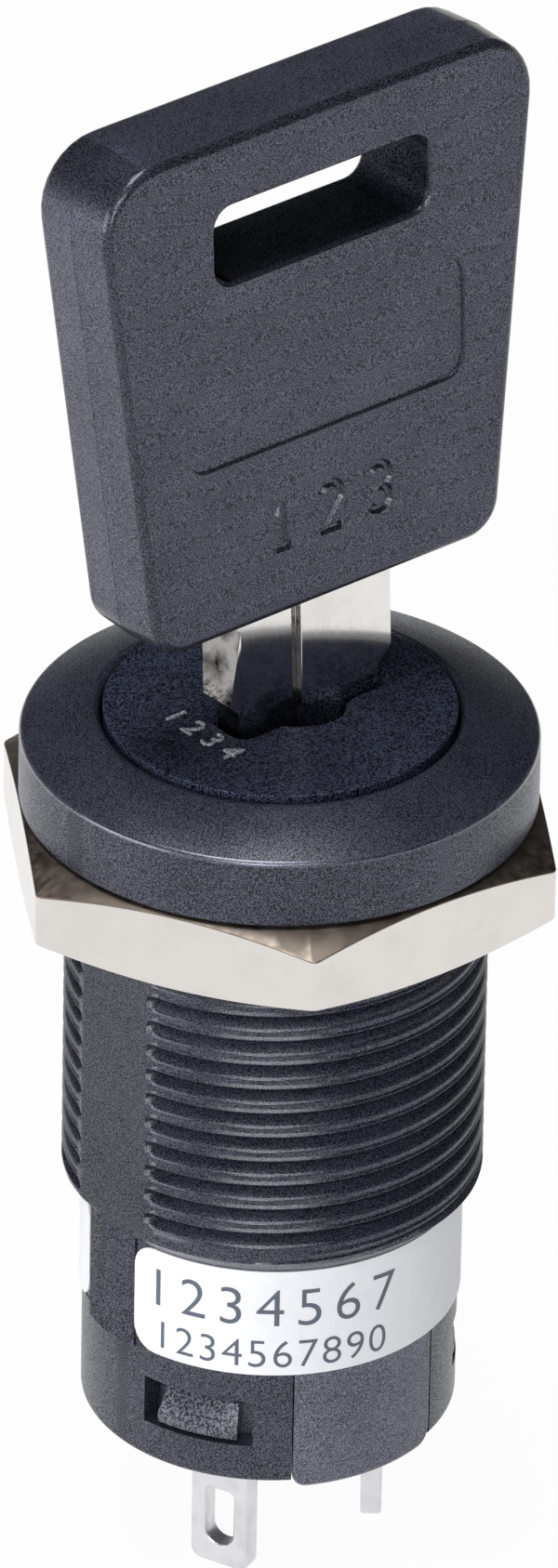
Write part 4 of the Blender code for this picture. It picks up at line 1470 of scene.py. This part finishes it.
        # The slot's walls take a darker copy of the grip's plastic: painted shade.
        self.finish_where("key_grip", SLOT_WALL_PAINTED_SHADE, self.in_slot)
        self.finish("blade_milled", BLADE_METAL, Slot.NICKEL_SILVER)
        # Faces towards -X take the sheared finish, whose near-black patches are painted shade.
        self.finish_where("blade_milled", BLADE_SIDE_PAINTED_SHADE, lambda face: face.normal.x < -0.8)


@dataclass
class TerminalBase(SubAssembly):
    """The terminal block with its tongue, snap tabs and solder lugs."""

    radius: float = 5.95
    top: float = -22.4
    end: float = -25.65
    root: float = 5.4
    chamber_radius: float = 6.3
    tongue: tuple[float, float] = (238.7, 289.8)
    tongue_radius: float = 7.08
    tongue_top: float = -21.0
    tongue_end: float = -26.55
    tongue_corner: float = 0.55
    tab_half_angle: float = 13.5
    tab_radius: float = 7.05
    tab_top_radius: float = 6.3
    tab_top: float = -22.9
    tab_shoulder: float = -24.0
    tab_end: float = -24.45
    angles: dict[str, float] = field(
        default_factory=lambda: {"first": 328.0, "second": 208.0, "common": 88.0}
    )
    contacts: dict[str, float] = field(default_factory=lambda: {"first": 300.0, "second": 210.0})
    lug_centre: float = 4.05
    lug_twist: float = -7.5
    lug_thick: float = 0.8
    lug_half: float = 1.25
    lug_top: float = -26.25
    lug_end: float = -31.95
    lug_corners: tuple[float, float] = (0.45, 0.15)
    lug_edge: float = 0.12
    eyelet: tuple[float, float, float] = (0.6, -31.05, -28.6)
    eyelet_corners: tuple[float, float] = (0.58, 0.25)
    stem: tuple[float, float] = (0.25, 1.05)
    inner_tab: tuple[float, float, float, float] = (2.9, 5.1, -22.1, -21.5)
    inner_half_angle: float = 18.0
    common_pad: float = 1.5
    gap: float = 0.3
    past: float = 1.0

    def build(self) -> None:
        """Makes the block, its tabs and the terminals."""
        block = turned([
            (0.02, self.top), (0.02, self.end), (self.radius, self.end), (self.radius, self.top),
        ], COLUMNS // 2)
        steps = [(Carve.JOIN, self.tongue_block())]
        thick, wide = self.stem[0] + self.gap, self.stem[1] + self.gap
        slot = corners_only(box_corners(-thick, thick, -wide, wide))
        for angle in self.angles.values():
            cutter = prism(slot, self.end - self.past, self.top + self.past)
            steps.append((Carve.CUT, moved(cutter, self.place(angle))))
        self.add("base_moulding", carved(block, steps), Body.SWITCH, "base")
        for name, angle in self.angles.items():
            self.add(f"snap_tab_{name}", moved(self.tab(), turn_to(angle)), Body.SWITCH)
            terminal = moved(self.terminal(name), self.place(angle))
            self.add(f"lug_{name}", terminal, Body.SWITCH, f"terminal_{name}")

    def tongue_block(self) -> BMesh:
        """The tongue that fills the skirt's notch, with rounded lower corners.

        Returns:
            The solid.
        """
        under = self.top - self.gap / 2
        rings = []
        for angle, draw_in in rounded_ends(*self.tongue, self.tongue_corner, self.tongue_radius):
            low = self.tongue_end + draw_in
            section = rounded([
                (self.root, under, 0), (self.chamber_radius, under, 0),
                (self.chamber_radius, self.tongue_top, 0), (self.tongue_radius, self.tongue_top, 0.1),
                (self.tongue_radius, low, 0.3), (self.root, low, 0.1),
            ])
            rings.append([polar(r, angle, z) for r, z in section])
        return loft(rings)

    def place(self, angle: float) -> Matrix:
        """Where a lug stands: on its radius, a little off square to it."""
        return turn_to(angle) @ Matrix.Translation((self.lug_centre, 0, 0)) @ turn_to(self.lug_twist)

    def tab(self) -> BMesh:
        """A snap tab with its ramp, pointing along +X.

        Returns:
            The solid.
        """
        profile = [
            (self.root, self.tab_top), (self.tab_top_radius, self.tab_top),
            (self.tab_radius, self.tab_shoulder), (self.tab_radius, self.tab_end), (self.root, self.tab_end),
        ]
        return softened(turned(profile, 24, -self.tab_half_angle, self.tab_half_angle), 0.08)

    def terminal(self, name: str) -> BMesh:
        """A terminal round its lug's centre: lug with its eyelet, stem through the block and tab inside.

        Args:
            name: which terminal it is.

        Returns:
            The solid.
        """
        half, low, high = self.lug_half, self.lug_end, self.lug_top
        foot, head = self.lug_corners
        outline = rounded([(-half, low, foot), (half, low, foot), (half, high, head), (-half, high, head)])
        wide, eye_low, eye_high = self.eyelet
        foot, head = self.eyelet_corners
        eyelet = rounded([
            (-wide, eye_low, foot), (wide, eye_low, foot), (wide, eye_high, head), (-wide, eye_high, head),
        ])
        thick = self.lug_thick / 2
        cutter = prism(eyelet, -thick - self.past, thick + self.past, "YZ")
        plate = carved(prism(outline, -thick, thick, "YZ"), [(Carve.CUT, cutter)])
        lug = softened(plate, self.lug_edge, 50, 3)
        deep, broad = self.stem
        inner, outer, tab_low, tab_high = self.inner_tab
        stem = corners_only(box_corners(-deep, deep, -broad, broad))
        angle = self.angles[name]
        if name in self.contacts:
            reach = self.contacts[name] - angle
            start, stop = min(reach, 0) - self.inner_half_angle, max(reach, 0) + self.inner_half_angle
            tab = sector(inner, outer, tab_low, tab_high, start, stop)
        else:
            corner = math.degrees(math.asin(broad / self.common_pad))
            strip = arc((0, 0), self.common_pad, corner, 360 - corner, 32)
            far = self.lug_centre + 2 * deep
            tab = prism(strip + [(far, -broad), (far, broad)], tab_low, tab_high)
        return carved(lug, [
            (Carve.JOIN, prism(stem, high - self.gap, (tab_low + tab_high) / 2)),
            (Carve.JOIN, moved(tab, self.place(angle).inverted() @ turn_to(angle))),
        ])

    def dress(self) -> None:
        """Gives the block, tabs and lugs their finishes."""
        self.finish("base_moulding", BASE_PLASTIC, Slot.BASE_PLASTIC)
        for name in self.angles:
            self.finish(f"snap_tab_{name}", TAB_PLASTIC, Slot.BASE_PLASTIC)
            self.finish(f"lug_{name}", LUG_TIN, Slot.TIN_PLATE)


@dataclass
class Mechanism(SubAssembly):
    """The solids inside, which keep their shapes, and a copy of the ball's spring."""

    spring_angle: float = 30.0
    spring_foot: tuple[float, float] = (2.3, -18.2)
    spring_length: float = 2.05
    ball_travel: float = 0.4
    finishes: dict[str, Finish] = field(default_factory=lambda: {
        "contact_rotor": ROTOR_PLASTIC,
        "contact_spring": SPRING_STEEL,
        "contact_": CONTACT_SILVER,
        "moving_contact": WAFER_BRASS,
        "wafer_spring_": SPRING_STEEL,
        "wafer_": WAFER_BRASS,
        "retaining_ring": SPRING_STEEL,
        "detent_": SPRING_STEEL,
    })

    def build(self) -> None:
        """Takes the solids that no piece stands for, and a copy of the ball's spring."""
        bm = bmesh.new()
        bm.from_mesh(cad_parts["detent_spring"].data)
        bm.transform(Matrix.Scale(1 / MM, 4))
        coil = self.add("detent_coil", bm, Body.PLUG, "detent_spring")
        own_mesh(coil)
        self.shown.update({name: node for name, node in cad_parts.items() if not node.hide_render})

    def dress(self) -> None:
        """Gives each solid the finish that the start of its name calls for."""
        self.finish("detent_coil", SPRING_STEEL, Slot.SPRING_STEEL)
        for name, node in self.shown.items():
            finish = next(finish for start, finish in self.finishes.items() if name.startswith(start))
            node.data.materials.clear()
            node.data.materials.append(finish.material())


@dataclass
class Camera:
    """The photographer's long lens, fitted to the bezel's and the thread's ellipses."""

    azimuth: float = -39.5
    elevation: float = 31.09
    distance: float = 653.4
    target_z: float = 2.7
    focal_px: float = 18924.6
    pitch: float = -0.182
    roll: float = 1.08
    sensor_mm: float = 36.0

    def build(self) -> None:
        """Places the camera."""
        data = bpy.data.cameras.new("long_lens")
        data.sensor_width = self.sensor_mm
        data.lens = self.focal_px / PHOTO_HEIGHT_PX * self.sensor_mm
        data.clip_start, data.clip_end = 0.01, 100.0
        camera = bpy.data.objects.new("long_lens", data)
        bpy.context.scene.collection.objects.link(camera)
        around, up = math.radians(self.azimuth), math.radians(self.elevation)
        back = Vector((math.sin(around) * math.cos(up), -math.cos(around) * math.cos(up), math.sin(up)))
        right = Vector((math.cos(around), math.sin(around), 0))
        turn = Matrix((right, back.cross(right), back)).transposed()
        tip = Matrix.Rotation(math.radians(self.pitch), 3, "X")
        aim = tip @ Matrix.Rotation(math.radians(self.roll), 3, "Z")
        camera.matrix_world = Matrix.LocRotScale(
            Vector((0, 0, self.target_z * MM)) + back * self.distance * MM, (turn @ aim).to_quaternion(), None
        )
        bpy.context.scene.camera = camera


@dataclass(frozen=True)
class Lamp:
    """A soft box that looks at the switch."""

    name: str
    azimuth: float
    elevation: float
    size_mm: Point
    watts: float
    distance_mm: float = 400.0

    def build(self) -> None:
        """Hangs the lamp."""
        data = bpy.data.lights.new(self.name, "AREA")
        data.shape = "RECTANGLE"
        data.size, data.size_y = (size * MM for size in self.size_mm)
        data.energy = self.watts
        lamp = bpy.data.objects.new(self.name, data)
        bpy.context.scene.collection.objects.link(lamp)
        around, up = math.radians(self.azimuth), math.radians(self.elevation)
        back = Vector((math.sin(around) * math.cos(up), -math.cos(around) * math.cos(up), math.sin(up)))
        lamp.location = back * self.distance_mm * MM
        lamp.rotation_euler = back.to_track_quat("Z", "Y").to_euler()


@dataclass
class Studio:
    """A pale floor, a white surround that dims overhead, and soft boxes."""

    floor_z: float = -31.96
    floor_radius: float = 30000.0
    floor_colour: str = "#f2f2f2"
    white_share: float = 0.96
    mirrored_share: float = 1.0
    overhead: float = 0.03
    overhead_from: float = 0.3
    level: float = 0.3
    lamps: tuple[Lamp, ...] = (
        Lamp("camera_flash", -48.0, 18.0, (100.0, 100.0), 0.4),
        Lamp("front_strip", -44.0, 38.0, (300.0, 80.0), 0.58),
        Lamp("left_box", -105.0, 8.0, (300.0, 200.0), 0.95),
        Lamp("top_box", -129.5, 83.0, (250.0, 150.0), 1.1),
    )

    def build(self) -> None:
        """Makes the floor, the surround and the lamps."""
        scene = bpy.context.scene
        scene.view_settings.view_transform = "Standard"
        outline = arc((0, 0), self.floor_radius, 0, 360, 96)[:-1]
        bm = prism(outline, self.floor_z - 1, self.floor_z)
        bm.transform(Matrix.Scale(MM, 4))
        floor = as_object("floor", bm)
        material, tree, output = new_material("pale_table")
        table = add_node(tree, "BsdfDiffuse", {"Color": linear(self.floor_colour)})
        white = add_node(tree, "Emission")
        path = add_node(tree, "LightPath")
        mirrored = add_node(
            tree, "Math", {"operation": "MAXIMUM"},
            {0: path.outputs["Is Glossy Ray"], 1: path.outputs["Is Transmission Ray"]},
        )
        dimmed = add_node(
            tree, "Math", {"operation": "MULTIPLY", 1: self.mirrored_share}, {0: mirrored.outputs[0]}
        )
        share = add_node(
            tree, "Math", {"operation": "MULTIPLY_ADD", 1: self.white_share},
            {0: path.outputs["Is Camera Ray"], 2: dimmed.outputs[0]},
        )
        blend = add_node(
            tree, "MixShader", links={0: share.outputs[0], 1: table.outputs[0], 2: white.outputs[0]}
        )
        tree.links.new(blend.outputs[0], output.inputs["Surface"])
        floor.data.materials.append(material)
        self.surround()
        for lamp in self.lamps:
            lamp.build()

    def surround(self) -> None:
        """Lights the room: white to the camera, and dimmer overhead in reflections."""
        world = bpy.data.worlds.new("white_room")
        bpy.context.scene.world = world
        world.use_nodes = True
        tree = world.node_tree
        tree.nodes.clear()
        path = add_node(tree, "LightPath")
        direction = add_node(tree, "TexCoord").outputs["Generated"]
        height = add_node(tree, "SeparateXYZ", links={0: direction}).outputs["Z"]
        dim = add_node(
            tree, "MapRange",
            {"From Min": 0.0, "From Max": self.overhead_from, "To Min": self.level, "To Max": self.overhead},
            {"Value": height},
        )
        strength = add_node(
            tree, "Mix", {"data_type": "FLOAT", 3: 1.0},
            {0: path.outputs["Is Camera Ray"], 2: dim.outputs["Result"]},
        )
        sky = add_node(tree, "Background", links={"Strength": strength.outputs[0]})
        output = add_node(tree, "OutputWorld")
        tree.links.new(sky.outputs[0], output.inputs["Surface"])


def main() -> None:
    """Builds and dresses the switch, then lights it."""
    logging.basicConfig(level=logging.INFO, format="%(name)s: %(message)s")
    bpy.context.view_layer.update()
    Camera().build()
    for group in (Housing(), PanelNut(), RatingLabel(), LockPlug(), Key(), TerminalBase(), Mechanism()):
        group.build()
        group.dress()
        for name, made in group.shown.items():
            LOG.info("%s: %s, %d faces", type(group).__name__, name, len(made.data.polygons))
    Studio().build()


if __name__ == "__main__":
    main()
